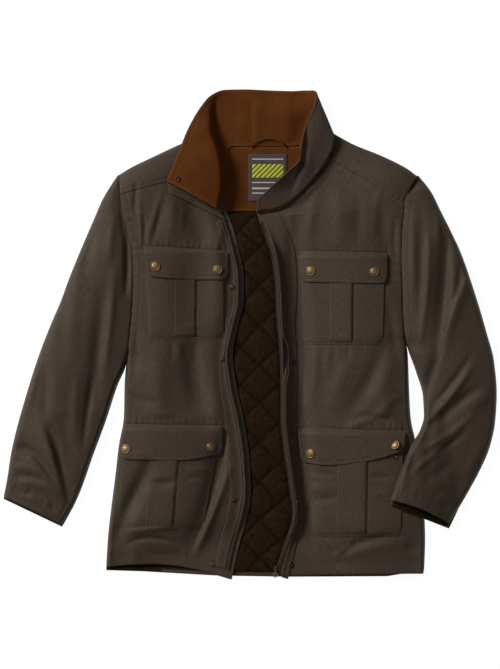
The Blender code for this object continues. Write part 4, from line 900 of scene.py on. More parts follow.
def make_fronts():
    halves = (("right", RIGHT_FRONT, RIGHT_YOKE, 15.0), ("left", LEFT_FRONT, LEFT_YOKE, 1.0))
    for side, front, yoke, bow in halves:
        shape, front_name, yoke_name = FRONTS[side], "front_%s_cloth" % side, "yoke_%s_cloth" % side
        seams = [np.array(corners[:2], float) for name, corners in FLAPS.items() if name.endswith(side)]
        hems = [corners[2:] for name, (corners, _, _) in POCKETS.items() if name.endswith(side)]
        rows, cols = FRONT_GRID
        plan = plan_grid(*section_points(front, rows, [seam[:, 1].mean() for seam in seams]), cols)
        bow_hem(plan, bow, 4 / 23)
        x, y = plan[..., 0], plan[..., 1]
        lift = ditch(distances(plan) - HEM, 0.4, 1.8)
        for k, (seam, hem) in enumerate(zip(seams, hems)):
            lift += ditch(line_gap(x, y, seam)[0], 1.1, 2.0)
            lift += pucker(x, y, seam + 5, 0.5, 11.0, 8.0, k * 1.7 + len(side))
            lift += pucker(x, y, hem, 0.3, 13.0, 9.0, k * 2.3 + 0.4)
        heights = np.linspace(shape.armpit_y, 722, 30)
        armhole = join(shape.side(heights), heights)
        lift += pucker(x, y, armhole, 0.3, 17.0, 14.0, 0.8)
        if side == "right":
            side_gap = np.abs(x - shape.side(y))
            lift += sum(ditch(side_gap - row, 0.4, 1.2) for row in SIDE_ROWS) * (y > shape.armpit_y)
        outer = on_front(shape, plan, lift)
        outer[-1, :, 2] -= 0.4
        outer[..., 2] += pucker(x, y, plan[-1, ::6], 0.28, 12.0, 9.0, 0.3)
        cloth(front_name, "front_" + side, SHELL, ["back_cloth"], outer, CLOTH, lowest=REST)
        hem = plan[0, 2:-2]
        hem = hem[np.linspace(0, len(hem) - 1, 26).astype(int)] + (0, HEM)

        rows, cols = YOKE_GRID
        plan = plan_grid(*section_points(yoke, rows), cols)
        plan[..., 1] += (shape.top(plan[-1, :, 0]) - plan[-1, :, 1]) * np.linspace(0, 1, rows)[:, None] ** 2
        plan[0, :, 1] -= 1.5
        gaps, seam = distances(plan), plan[0]
        lift = 0.2 + 0.7 * roll(gaps / 6) + ditch(gaps - 7.0, 0.25, 1.6)
        lift += pucker(plan[..., 0], plan[..., 1], seam[::6], 0.28, 12.0, 9.0, 0.3)
        outer = on_front(shape, plan, lift)
        cloth(yoke_name, "yoke_" + side, SHELL, ["back_cloth"], outer, CLOTH, lowest=REST)
        for distance in YOKE_ROWS:
            sew([yoke_name], seam[3:-3] + (0, distance))
        if side == "right":
            for distance in SIDE_ROWS:
                sew([front_name, yoke_name], armhole[2:] + (distance, 0))
        sew([front_name], hem)


def make_back():
    """Back panel, flat where it rests, its underside softly creased."""
    heights = np.linspace(14, 721, 60)
    left_line, right_line = join(RIGHT.side(heights) - 0.1, heights), join(LEFT.side(heights) + 0.1, heights)
    bottom = [left_line[0], (-200, 12), (-60, 4), (60, 2), (240, 3), right_line[0]]
    top = [left_line[-1], (-224, 736), (-179, 758), (-134, 779), (-100, 793), (-74, 801), (-66, 787),
           (-50, 779), (-20, 777), (60, 777), (110, 780), (132, 788), (142, 799), (176, 780), (230, 758),
           (274, 736), right_line[-1]]
    grid = coons(bottom, top, left_line, right_line, *BACK_GRID)
    x, y = grid[..., 0], grid[..., 1]
    curl = 3.6 * ease((24 - y) / 18) * ease((-50 - x) / 30)
    under = np.clip(fold_height(BACK_CREASES, x, y), 0, 0.7)
    made = cloth("back_cloth", "back", SHELL, [], join(x, y, CLOTH + curl), CLOTH, join(x, y, under + curl))
    made.data.materials.append(LINING.material)
    centres, normals = np.empty(len(made.data.polygons) * 3), np.empty(len(made.data.polygons) * 3)
    made.data.polygons.foreach_get("center", centres)
    made.data.polygons.foreach_get("normal", normals)
    inside = (normals[2::3] > 0.7) & (centres[1::3] * 1000 - LAY_ORIGIN[1] > 13)
    made.data.polygons.foreach_set("material_index", inside.astype(np.int32))


def make_lining():
    """Quilted back lining where the open fronts show it."""
    (x0, x1), (y0, y1) = LINING_X, LINING_Y
    x, y = mesh_plan(LINING_X, LINING_Y, *LINING_GRID)
    u, v, size = x - QUILT["x"], y - QUILT["y"], QUILT["size"]
    v = v + 3.0 * np.sin(u / 23.0) + 2.0 * np.sin(v / 41.0)
    one, two = np.abs(np.sin(math.pi * (u + v) / size)), np.abs(np.sin(math.pi * (u - v) / size))
    seam = np.minimum(one, two)
    ripple = (np.sin(u * 0.9 + v * 0.23) + np.sin(v * 0.8 - u * 0.31 + 1.0)) * 0.25 * hill(seam, 0.35)
    shown = ease((np.minimum(x - RIGHT.edge(y), LEFT.edge(y) - x) + 6) / 14)
    puff = QUILT["puff"] * shown * (0.85 + 0.25 * np.sin(u / 31.0 + v / 53.0))
    height = puff * (one * two) ** 0.45 + ripple * np.minimum(1, seam * 8) * shown
    # The quilting seams get painted shade, darker along each seam line.
    cloth("lining_quilt", "back_lining", LINING, ["back_cloth"], join(x, y, REST + 2.0 + height), CLOTH,
          join(x, y, REST), uv=join(x, y), edge_wear=0, seam_shade=hill(seam, 0.12))
    bits = stitch_bits(2.0, 0.6, 0.3)
    v = np.linspace(y0 + 3, y1 - 3, 120)
    for k in range(-8, 9):
        for slant in (1, -1):
            u = QUILT["x"] + k * size - (v - QUILT["y"]) * slant
            run = join(u, v)[(u > x0 + 40) & (u < x1 - 30)]
            if len(run) > 2:
                sew(["lining_quilt"], run, 4.2, bits=bits)
    bits.finish("quilt_stitches", LINING)


def make_neck():
    """Corduroy neck facing, woven label and hanger loop."""
    x, y = mesh_plan(FACING_X, FACING_Y, *FACING_GRID)
    drape = fold_height(FACING_FOLDS, x, y) + 2.4 * ease((-44 - x) / 10)
    cloth("neck_facing_cord", "neck_facing", CORD, ["back_cloth"], join(x, y, REST + CORD_CLOTH + drape),
          CORD_CLOTH, lowest=REST, uv=join(x, y))
    low = REST + CORD_CLOTH + GAP
    (left, right), (foot, head) = LABEL_X, LABEL_Y
    x, y = mesh_plan(LABEL_X, LABEL_Y, *LABEL_GRID)
    curl = 0.5 * hill(y - foot, 7) + 0.3 * hill(x - right, 6)
    cloth("label_woven_cloth", "label", LABEL, ["neck_facing_cord"], join(x, y, low + LABEL_CLOTH + curl),
          LABEL_CLOTH, uv=join(x - left, head - y), edge_wear=0)
    for seam in LABEL_SEAMS:
        sew(["label_woven_cloth"], seam, 2.6)
    turn, (middle_x, middle_y) = np.linspace(0, math.pi, 41), LOOP_MIDDLE
    path = join(middle_x - LOOP_HALF * np.cos(turn), middle_y + LOOP_RISE * np.sin(turn) ** 1.4,
                low + LOOP_HEIGHT * np.sin(turn) ** 0.35)
    across = np.linspace(-1, 1, 6)[:, None]
    tape = path + join(0, 1.7 * across, LOOP_CLOTH + 0.25 * np.cos(1.4 * across))
    cloth("hanger_loop_tape", "hanger_loop", CORD._replace(slot="lining"), [], tape, LOOP_CLOTH, edge_wear=0,
          host="neck_facing_cord")


# ---------------------------------------------------------------- bands down the front edges
# How far inward from its front's edge a band's inner or free edge lies, by height.
PLACKET_INNER = [(0, 34), (240, 38), (300, 32), (380, 26), (430, 19), (460, 24), (540, 28), (700, 24)]
STORM_INNER = [(0, 26), (100, 20), (200, 24), (330, 30), (430, 32), (520, 40), (590, 44), (655, 38)]
STORM_FREE = [(3, 13), (40, 9), (110, 8), (330, 8), (378, 15), (405, 15), (440, 8), (660, 8)]


def edge_frame(shape, low, high, count):
    """Points down a front edge with the way inward from it."""
    y = np.linspace(low, high, count)
    points = join(shape.edge(y), y)
    return points, left_of(points) * (-1 if shape is LEFT else 1)


def strip_grid(shape, low, high, near, far, rows, cols):
    """Grid between two distances inward from a front edge, the distances, and the shares across."""
    points, inward = edge_frame(shape, low, high, rows)
    near, far = (flow(table, points[:, 1])[:, None] for table in (near, far))
    t = shares(cols, 0.5)
    reach = near + (far - near) * t
    return points[:, None] + inward[:, None] * reach[..., None], reach, t


def sew_along(name, shape, low, high, count, distances_in, pitch=3.0, lift=0.05, bits=STITCHES):
    """Rows of stitches down a front edge, each at a distance inward from it or (table, distance)."""
    points, inward = edge_frame(shape, low, high, count)
    for distance in distances_in:
        if not np.isscalar(distance):
            table, more = distance
            distance = (flow(table, points[:, 1]) + more)[:, None]
        sew([name], points + inward * distance, pitch, lift, bits)


def rim(t, height, sharpness):
    """How far a band's edge is rolled down, t being 0 there."""
    return -height * (1 - roll(np.minimum(t * sharpness, 1)))


def make_zip_tape(side, low, high, near, far, teeth_at, teeth_reach):
    shape, name = FRONTS[side], "zip_tape_%s_cloth" % side
    grid, _, t = strip_grid(shape, low, high, [(0, near), (1, near)], [(0, far), (1, far)], *TAPE_GRID)
    outer = on_front(shape, grid, GAP + TAPE_CLOTH - 0.4 * np.abs(2 * t - 1) ** 3)
    cloth(name, "zip_tape_" + side, TAPE, [], outer, TAPE_CLOTH, uv=grid, edge_wear=0,
          host="front_%s_cloth" % side)
    teeth = tooth_bits(teeth_reach)
    sew_along(name, shape, low + 2, high - 2, 200, [teeth_at], 1.75, 0.0, teeth)
    teeth.finish("zip_teeth_" + side, DULL_TEETH)


def make_bands():
    grid, reach, t = strip_grid(RIGHT, 14, 648, [(0, 14.5), (1, 14.5)], PLACKET_INNER, *PLACKET_GRID)
    y = grid[..., 1]
    lift = GAP + 1.3 + 0.35 * np.sin(y / 9.0 + 0.7 * np.sin(y / 31.0)) * hill(reach - 17, 5)
    lift += rim(1 - t, 1.1, 3) + rim(t, 0.7, 8)
    lift += ditch(reach - 18.0, 0.25, 1.2) + ditch(reach - 22.5, 0.25, 1.2)
    cloth("placket_band", "placket_right", SHELL, ["front_right_cloth"], on_front(RIGHT, grid, lift),
          TAPE_CLOTH, uv=grid)
    sew_along("placket_band", RIGHT, 16, 646, 160, PLACKET_ROWS)
    sew_along("placket_band", RIGHT, 16, 646, 160, [(PLACKET_INNER, -2.2)], 3.2)
    make_zip_tape("right", 12, 662, 6.5, 12.5, 9.3, 3.0)
    piping = stitch_bits(1.9, 0.6, 0.4)
    sew_along("zip_tape_right_cloth", RIGHT, 14, 660, 200, [7.0, 11.6], 2.4, 0.0, piping)
    piping.finish("zip_tape_stitches", THREAD._replace(slot="zip_tape"))
    make_zip_tape("left", 10, 640, 0.4, 6.4, 1.9, 2.6)
    # storm flap down the left front, its free edge curled up
    grid, reach, t = strip_grid(LEFT, 6, 652, STORM_FREE, STORM_INNER, *STORM_GRID)
    y = grid[..., 1]
    curl = 3.2 * (1 - t) ** 1.5 * (0.75 + 0.25 * np.sin(y / 47.0 + 0.6))
    end_fade = ease((655 - y) / 90)
    lift = GAP + 0.3 + (BAND_CLOTH + curl + rim(t, 0.8, 10) + rim(1 - t, 1.0, 5)) * end_fade
    lift += ditch(reach - reach[:, :1] - 7.0, 0.3, 1.2)
    cloth("storm_flap_cloth", "storm_flap_left", SHELL, ["front_left_cloth"], on_front(LEFT, grid, lift),
          BAND_CLOTH, uv=grid)
    sew_along("storm_flap_cloth", LEFT, 8, 600, 170, [(STORM_FREE, row) for row in STORM_ROWS])
    sew_along("front_right_cloth", RIGHT, 18, 668, 180, [2.6], 3.2)


# ---------------------------------------------------------------- pockets and flaps
def patch(name, corners, radius, grid_size):
    """Front, grid and outline of a pocket or flap, and each grid point's distance from the outline."""
    grid, outline = patch_grid(corners, radius, *grid_size)
    gap, _, _ = line_gap(grid[..., 0], grid[..., 1], outline[::2])
    return FRONTS[name.rsplit("_", 1)[1]], grid, outline, gap


def sew_patch(name, distances_in, outline, grid):
    """Stitches along an outline, inward from it."""
    middle = grid[len(grid) // 2, grid.shape[1] // 2]
    for distance in distances_in:
        moved = [outline + left_of(outline) * d for d in (distance, -distance)]
        inset = min(moved, key=lambda line: np.linalg.norm(line[len(line) // 2] - middle))
        sew([name], inset[2:-2])


def make_pocket(name, corners, near, far):
    shape, grid, outline, gap = patch(name, corners, 9.0, POCKET_GRID)
    x, y = grid[..., 0], grid[..., 1]
    top_y, low_y = corners[0][1], corners[2][1]
    t = (y - low_y) / (top_y - low_y)
    left_x, right_x = (low + (top - low) * t for top, low in (near, far))
    ends = ease(t * 14)
    pleat = 1.2 * ease((x - left_x) / 1.6 + 0.5) + 1.5 * ease((x - left_x) / (right_x - left_x))
    lift = (np.where(x < right_x, pleat, 0) + ditch(x - right_x - 1.6, 1.2)) * ends
    for line_x, depth, width in ((left_x + 4.5, 0.3, 1.0), (right_x - 4.5, 0.3, 1.0), (left_x, 0.3, 1.2)):
        lift += ditch(x - line_x, depth, width)
    lift += ditch(gap - 2.2, 0.3, 1.1) + ditch(gap - 8.5, 0.2, 1.1) - 1.45 * (1 - ease((gap + 1.5) / 10))
    lift += pucker(x, y, outline[::3], 0.15, 17.0, 8.0, len(name) * 0.7) + 0.6 * ease(gap / 36)
    bed = on_front(shape, grid, GAP)
    outer = bed + join(0, 0, np.maximum(POCKET_CLOTH + lift, 0.25))
    cloth(name + "_cloth", name, SHELL, ["front_%s_cloth" % name.rsplit("_", 1)[1]], outer, POCKET_CLOTH, bed,
          uv=grid)
    sew_patch(name + "_cloth", POCKET_ROWS, outline, grid)
    for shift, (top_x, low_x) in ((-2.2, near), (2.4, near), (-2.4, far)):
        sew([name + "_cloth"], [(top_x + shift, top_y - 2), (low_x + shift, low_y + 2)])


def make_flap(name, corners):
    shape, grid, outline, gap = patch(name, corners, 13.0, FLAP_GRID)
    x, y = grid[..., 0], grid[..., 1]
    below = corners[0][1] - y
    over_band = ease((x + 72) / 8) if shape is RIGHT else ease((86 - x) / 8)
    top_line = np.array(corners[:2], float)
    seam_gap = line_gap(x, y, top_line)[0]
    free = ease(seam_gap / 5)
    lift = (GAP + FLAP_CLEAR * np.maximum(ease(below / FLAP_FADE), over_band)) * free - 1.6 * (1 - free)
    if name == "lower_flap_left":
        lift += 3.0 * hill(x - 268, 34) * ease(below / 40)
    edge = rim(gap, 0.8, 0.5) * free + ditch(gap - 6.5, 0.3, 1.2) + ditch(seam_gap - 7.0, 0.2, 1.6)
    edge += pucker(x, y, outline[::3], 0.16, 29.0, 12.0, len(name) * 0.9) - 0.5 * (1 - free)
    if name == "lower_flap_right":
        edge += 1.3 * hill(x + 118 + (y - 240) * 0.9, 16) * ease(below / 30)
    bed = on_front(shape, grid, lift)
    outer = bed + join(0, 0, np.maximum(FLAP_CLOTH + edge, 0.6))
    cloth(name + "_cloth", name, SHELL, [name.replace("flap", "pocket") + "_cloth"], outer, FLAP_CLOTH, bed,
          uv=grid)
    sew_patch(name + "_cloth", FLAP_ROWS, outline, grid)
    for distance in FLAP_TOP_ROWS:
        sew([name + "_cloth"], top_line - (0, distance))


# ---------------------------------------------------------------- snaps
# Outlines of the turned pieces, as (radius, height).
CAP = [(7.3, 0), (8.3, 0.35), (8.5, 0.9), (8.3, 1.4), (7.7, 1.75), (7.1, 1.6), (6.7, 1.35), (6.2, 1.7),
       (5.2, 2.25), (3.8, 2.65), (2.0, 2.9), (0.3, 2.95)]
STUD = [(4.5, 0), (4.5, 0.6), (4.1, 0.9), (3.2, 0.95), (2.5, 1.0), (2.1, 1.5), (2.3, 2.0), (2.0, 2.3),
        (1.2, 2.3), (0.9, 1.9), (0.2, 1.8)]
SOCKET = [(4.5, 0), (4.5, 1.2), (4.1, 1.7), (3.4, 1.8), (2.7, 1.6), (2.4, 1.0), (2.3, 0.6), (0.2, 0.5)]
CAPS = [(-177, 560), (-66, 554), (101, 552), (215, 550), (-230, 233), (-78, 236), (101, 224), (252, 240)]
LOOSE_CAP, LOOSE_LEAN = 8, (-0.55, 0.35, 0.0)       # the cap that isn't snapped down, and how it leans
STUDS = [("stud_1", -40, 523, "placket_band"), ("stud_2", -58, 393, "placket_band"),
         ("stud_3", -37, 140, "placket_band"), ("stud_4", -74, 24, "front_right_cloth"),
         ("socket_1", 68, 390, "storm_flap_cloth"), ("socket_2", 66, 262, "storm_flap_cloth"),
         ("socket_3", 78, 137, "storm_flap_cloth"), ("socket_4", 66, 24, "storm_flap_cloth"),
         ("collar_snap", -137, 716, "collar_cord"), ("pocket_socket", 252, 219, "lower_pocket_left_cloth")]


def make_turned(node, place, normal, profile, finish, sides=32):
    tilt = Vector((0, 0, 1)).rotation_difference(Vector(normal)).to_matrix()
    radius, height = np.array(profile, float).T[:, :, None]
    turn = np.arange(sides) * math.tau / sides
    rings = join(radius * np.cos(turn), radius * np.sin(turn), height)
    verts = rings.reshape(-1, 3) @ np.array(tilt).T + place
    a = np.arange(len(profile) - 1)[:, None] * sides + np.arange(sides)
    b = np.roll(a, -1, axis=1)
    made = make_mesh(node + "_snap", verts, join(a, b, b + sides, a + sides).reshape(-1, 4), finish)
    fix_outward(made, fill_holes=True)
    made.data.set_sharp_from_angle(angle=math.radians(60))
    declare(made, node)


def seat(names, x, y, radius):
    """Place and tilt for a round piece resting on the named pieces."""
    around = [(reach, k * math.tau / 12) for reach in (radius / 2, radius) for k in range(12)]
    found = [drop(names, x + reach * math.cos(turn), y + reach * math.sin(turn))[0] for reach, turn in around]
    centre = drop(names, x, y)[0]
    away = np.array([hit - centre for hit in found if hit is not None and hit[2] > centre[2] - 5])
    slopes = [np.sum(away[:, k] * away[:, 2]) / np.sum(away[:, k] ** 2) for k in (0, 1)]
    normal = unit(np.array([-slopes[0], -slopes[1], 1.0]))
    return centre + normal * (max(0.0, float(np.max(away @ normal))) + 0.05), normal


def make_snaps():
    for number, (x, y) in enumerate(CAPS, 1):
        place, normal = seat([name + "_cloth" for name in FLAPS], x, y, 7.0)
        if number == LOOSE_CAP:
            normal = unit(normal + LOOSE_LEAN)
        make_turned("cap_%d" % number, place, normal, CAP, BRASS)
    for node, x, y, carrier in STUDS:
        place, normal = seat([carrier, "front_right_cloth", "front_left_cloth"], x, y, 4.2)
        make_turned(node, place, normal, STUD if node.startswith("stud") else SOCKET, DARK_BRASS, 24)


# ---------------------------------------------------------------- sleeves
Sleeve = namedtuple("Sleeve", "side sections body turn folds seam_dip crown cuff_drop bow")
SLEEVES = [
    Sleeve("right", RIGHT_SLEEVE, RIGHT, 1, RIGHT_SLEEVE_FOLDS, 1.4,
           [(0, 17), (0.15, 26), (0.5, SLEEVE_CROWN), (0.85, 28), (1, 16)], 4.0, 2.0),
    Sleeve("left", LEFT_SLEEVE, LEFT, -1, LEFT_SLEEVE_FOLDS, 1.2,
           [(0, 19), (0.15, 25), (0.5, SLEEVE_CROWN), (0.85, 28), (1, 16)], 10.0, 6.0),
]
FOREARM_TOP, FOREARM_CLEAR = 330.0, 1.6     # the left forearm lies on the body below this height


def left_top(x, y):
    """Height of the left front with its lower pocket and flap."""
    z = LEFT.over(x, y)
    on_pocket = (x > 86) & (x < 268) & (y > 76) & (y < 246)
    on_flap = (x > 78) & (x < 271) & (y > 205) & (y < 268)
    return z + np.where(on_flap, 5.5, np.where(on_pocket, 2.6, 0.0)) * (z > 0)


def smooth_rows(values, turns):
    for _ in range(turns):
        wide = np.pad(values, 1, mode="edge")
        beside = wide[:-2, 1:-1] + wide[2:, 1:-1] + wide[1:-1, :-2] + wide[1:-1, 2:]
        values = (beside + values * 2) / 6
    return values


def sleeve_base(sleeve, plan, turns):
    """Height of what a sleeve lies on."""
    x, y = plan[..., 0], plan[..., 1]
    if sleeve.side == "right":
        return np.zeros(x.shape)
    height = tent(left_top, x, y, 8.0, 60.0, 0.33) + FOREARM_CLEAR
    fade = ease(height / 6) * ease((FOREARM_TOP - y) / 40)
    return smooth_rows(np.where(height > FOREARM_CLEAR + 0.1, height * fade, 0.0), turns)


def sleeve_plan(sleeve, grid_size, pull):
    """Grid of a sleeve half, with its inner edge on the armhole seam, and which rows reach that seam."""
    rows, cols = grid_size
    out, inner = section_points(sleeve.sections, rows)
    on_body = inner[:, 1] > sleeve.body.armpit_y
    inner[:, 0] = np.where(on_body, sleeve.body.side(inner[:, 1]) - sleeve.turn * GAP, inner[:, 0])
    return plan_grid(out, inner, cols, pull), on_body


def make_top_sleeve(sleeve):
    plan, on_body = sleeve_plan(sleeve, SLEEVE_GRID, 0.9)
    bow_hem(plan, sleeve.bow, 3 / 21)
    base = sleeve_base(sleeve, plan, 18)
    x, y, out, inner = plan[..., 0], plan[..., 1], plan[:, :1], plan[:, -1:]
    width = np.linalg.norm(inner - out, axis=-1)
    from_out, from_in = np.linalg.norm(plan - out, axis=-1), np.linalg.norm(plan - inner, axis=-1)
    full = np.minimum(flow(sleeve.crown, np.linspace(0, 1, len(plan)))[:, None], 0.42 * width + 4)
    at_seam = ease((inner[..., 1] - sleeve.body.armpit_y) / 40 + 0.5)
    low = (np.minimum(ARMHOLE_Z, full) - REST) * at_seam / np.maximum(full - REST, 0.1)
    rise_in = edge_rise(from_in, 9.0, width / 2, 0.62 * (1 - at_seam))
    z = REST + (full - REST) * edge_rise(from_out, 10.0, width / 2, 0.62) * (low + (1 - low) * rise_in)
    z -= sleeve.seam_dip * tucked(from_in) * at_seam * np.minimum(full / 17, 1)
    z += fold_height(sleeve.folds, x, y) * roll(from_out / 18) * roll(from_in / 8)
    from_cuff = distances(plan)
    z += ditch(from_cuff - HEM, 0.6, 1.8) + pucker(x, y, plan[8, ::8], 0.35, 16.0, 12.0, 1.1)
    if sleeve.side == "left":
        z += sum(ditch(from_in - row, 0.4, 1.2) for row in SLEEVE_ROWS) * on_body[:, None]
    outer = join(x, y, base + np.maximum(z, REST))
    normal = grid_normals(outer)
    normal[..., 2] = np.maximum(np.abs(normal[..., 2]), 0.3)
    name = "top_sleeve_%s_cloth" % sleeve.side
    cloth(name, "top_sleeve_" + sleeve.side, SHELL, ["under_sleeve_%s_cloth" % sleeve.side], outer, CLOTH,
          outer - unit(normal) * CLOTH, base + REST)
    across = range(4, plan.shape[1] - 4, 3)
    sew([name], [plan[np.searchsorted(from_cuff[:, c], HEM), c] for c in across], 3.2)
    if sleeve.side == "left":
        for distance in SLEEVE_ROWS:
            sew([name], plan[on_body, -1][::3] + (distance, 0), 3.2)


def make_under_sleeve(sleeve):
    plan, _ = sleeve_plan(sleeve, UNDER_GRID, 0.5)
    plan[..., 1] -= sleeve.cuff_drop * np.clip(1 - np.arange(len(plan)) / 4, 0, 1)[:, None]
    low = join(plan[..., 0], plan[..., 1], sleeve_base(sleeve, plan, 4))
    cloth("under_sleeve_%s_cloth" % sleeve.side, "under_sleeve_" + sleeve.side, SHELL,
          ["front_left_cloth"] if sleeve.side == "left" else [], low + (0, 0, CLOTH), CLOTH, low)
    return low


def make_cuff_lining(under):
    """Crumpled lining inside the left cuff, on the under sleeve's grid."""
    rows = np.linspace(0, 9, 30)
    floor = line_points(np.arange(10), under[:10, 3:-3].reshape(10, -1), rows).reshape(30, -1, 3)
    floor += (0, 1.0, CLOTH + GAP)
    u, v = np.arange(floor.shape[1]) * 3.4, rows[:, None] * 7
    ripple = 0.9 * np.sin(u / 5.5 + 0.8 * np.sin(v / 9)) + 0.6 * np.sin(u / 3.1 + v / 7 + 1.0)
    cloth("cuff_lining_cloth", "cuff_lining_left", LINING, ["under_sleeve_left_cloth"],
          floor + join(0, 0, 1.8 + ripple * ease(rows / 3)[:, None]), TAPE_CLOTH, floor, edge_wear=0)


def make_badge():
    """Small plain patch on the left sleeve."""
    head, foot = [(334, 637), (345, 638)], [(341, 611), (355.5, 613)]
    grid = coons(foot, head, [foot[0], head[0]], [foot[1], head[1]], *BADGE_GRID)
    z = [drop(["top_sleeve_left_cloth"], x, y)[0][2] + 0.15 for x, y in grid.reshape(-1, 2)]
    bed = join(grid[..., 0], grid[..., 1], np.reshape(z, BADGE_GRID))
    cloth("badge_cloth_piece", "sleeve_patch", BADGE_CLOTH, ["top_sleeve_left_cloth"],
          bed + (0, 0, LABEL_CLOTH), LABEL_CLOTH, bed, uv=grid)


def make_sleeves():
    for sleeve in SLEEVES:
        make_top_sleeve(sleeve)
        under = make_under_sleeve(sleeve)
    make_cuff_lining(under)
    make_badge()


# ---------------------------------------------------------------- collar
# Lines on the collar as (y, x): the valley where its left part folds over, and the crest from
# which its turned-out right end drops to the neck.
COLLAR_VALLEY = [(690, 63), (720, 72), (745, 82), (770, 88), (790, 92), (826, 91)]
VALLEY_DEPTH, VALLEY_NEAR, VALLEY_FAR, VALLEY_LOW, VALLEY_HIGH = 6.0, 20.0, 8.0, 680, 840
COLLAR_CREST = [(664, -69), (691, -63), (706, -61), (732, -62), (759, -66), (784, -74), (802, -80),
                (835, -81), (868, -76)]
CREST_DROP, CREST_FOOT, CREST_HIGH, NECK_SINK = 8.0, 4.2, 878, 8.0
COLLAR_FOLDS = rows_of(Fold, [
    (-20, 870, -12, 830, -24, 786, 12, 1.8), (20, 872, 26, 830, 14, 790, 13, -1.2),
    (60, 870, 58, 830, 66, 786, 12, 1.6), (-132, 790, -104, 768, -78, 764, 12, -2.2),
    (-148, 744, -116, 728, -84, 726, 10, 1.8), (-118, 820, -98, 800, -86, 796, 9, 1.6),
    (118, 850, 120, 812, 112, 770, 9, 1.4), (100, 770, 100, 740, 86, 706, 8, 1.6),
])


def make_collar():
    rows, cols = COLLAR_GRID
    data, share = np.array(COLLAR, float), shares(cols, 0.5)
    place = distances(data[:, :3]) + distances(data[:, 3:6])
    neck, top, lift = np.split(flow_points(place, data, np.linspace(0, place[-1], rows)), [3, 6], axis=1)
    width = np.linalg.norm(top - neck, axis=-1)[:, None]
    points = neck[:, None] + (top - neck)[:, None] * share[:, None]
    x, y = points[..., 0], points[..., 1]
    z = points[..., 2] + lift * 4 * share * (1 - share)
    bed = tent(body_top, x, y, 2, 5, 2.0)
    gap = x - flow(COLLAR_VALLEY, y)
    valley = hill(gap, np.where(gap < 0, VALLEY_NEAR, VALLEY_FAR)) * ease((VALLEY_HIGH - y) / 25)
    z -= VALLEY_DEPTH * valley * ease((y - VALLEY_LOW) / 25) * (x > 0)
    past = ease((x - flow(COLLAR_CREST, y)) / CREST_DROP) * (x < 0) * ease((CREST_HIGH - y) / 30)
    z += (np.minimum(CREST_FOOT, z) - z) * past + fold_height(COLLAR_FOLDS, x, y)
    z = smooth_rows(np.maximum(z, np.where(bed > 6, bed + 2.4, 3.7)), 3)
    z += (bed + 0.6 - z) * (1 - ease(share * width / NECK_SINK)) * (x > 0) * (bed > 6)
    points = join(x, y, z)
    normal = unit(np.cross(np.gradient(points, axis=0), np.gradient(points, axis=1)))
    along = distances((neck + top) / 2)[:, None]
    edge_gap = np.minimum((1 - share) * width, np.minimum(along, along[-1] - along))
    relief = ditch(edge_gap - 8.0, 0.5, 1.3) + ditch(edge_gap - 3.0, 0.3, 1.2)
    relief += 0.35 * ease(1 - (edge_gap - 5) / 2)
    uv, half = join(along * 1.12, share * width), normal * GAP / 2
    yokes = ["yoke_right_cloth", "yoke_left_cloth"]
    cord_top = points + half + normal * (CORD_CLOTH + relief)[..., None]
    cloth("collar_cord", "collar_corduroy", CORD, yokes, cord_top, CORD_CLOTH, points + half, uv=uv)
    outside = points - half - normal * (CLOTH + relief * 0.8)[..., None]
    cloth("collar_outside", "collar_shell", SHELL, yokes, points - half, CLOTH, outside, 0.1, uv)


def make_collar_strip():
    """Shell-cloth strip along the turned-out collar's front edge, over the right front."""
    upper = np.array([(-156, 714), (-129, 705), (-104, 691), (-73, 666), (-62, 659)], float)
    lower = np.array([(-153, 692), (-123, 678), (-79, 656), (-60, 647), (-50, 642)], float)
    grid = coons(lower, upper, [lower[0], upper[0]], [lower[-1], upper[-1]], *STRIP_GRID)
    x, y, t = grid[..., 0], grid[..., 1], shares(STRIP_GRID[0], 0.5)[:, None]
    z = smooth_rows(tent(body_top, x, y, 5, 10, 0.8), 4) + 5.0 - 0.8 * t + rim(t, 0.8, 6)
    cloth("collar_edge_strip", None, SHELL, ["yoke_right_cloth"], join(x, y, z), 1.3)
    sew(["collar_edge_strip"], lower + (0.8, 3.0), 3.0)
    teeth = tooth_bits(2.4)
    sew(["collar_edge_strip"], upper[:-1] - (0.8, 3.2), 1.8, 0.2, teeth)
    teeth.finish("zip_teeth_collar", TEETH)


# ---------------------------------------------------------------- zip slider and pull
SLIDER_X, SLIDER_Y, SLIDER_WIDTH, SLIDER_LENGTH, SLIDER_TALL = 38.0, 17.0, 8.0, 11.0, 2.6
PIN_Y, PIN_Z, PIN_ABOVE = SLIDER_Y - 2.5, 15.4153, 2.9      # the cross pin on which the pull turns
PULL_EYE, PULL_NECK, PULL_RING, PULL_WIRE = 1.7, 3.2, 4.0, 0.7


def add_tube(bm, points, radius, closed=False, sides=12):
    """Round bar along a line, capped where the line doesn't close."""
    points = np.array(points, float)
    run = unit(np.gradient(points, axis=0))
    side = unit(np.cross(run, (0.3, 0.2, 1.0)))
    turn = (np.arange(sides) * math.tau / sides)[:, None]
    round_about = np.cos(turn) * side[:, None] + np.sin(turn) * np.cross(side, run)[:, None]
    rings = points[:, None] + radius * round_about
    made = [[bm.verts.new(point) for point in ring] for ring in (rings[:-1] if closed else rings)]
    for one, two in zip(made, made[1:] + made[:1] if closed else made[1:]):
        for k in range(sides):
            after = (k + 1) % sides
            bm.faces.new((one[k], two[k], two[after], one[after]))
    if not closed:
        bm.faces.new(made[0][::-1])
        bm.faces.new(made[-1])


def finish_bmesh(name, bm, finish, node, body):
    bmesh.ops.recalc_face_normals(bm, faces=bm.faces)
    for vert in bm.verts:
        vert.co = to_metres(vert.co)
    mesh = bpy.data.meshes.new(name)
    bm.to_mesh(mesh)
    bm.free()
    mesh.shade_smooth()
    mesh.set_sharp_from_angle(angle=math.radians(50))
    mesh.materials.append(finish.material)
    declare(add_object(name, mesh), node, body)


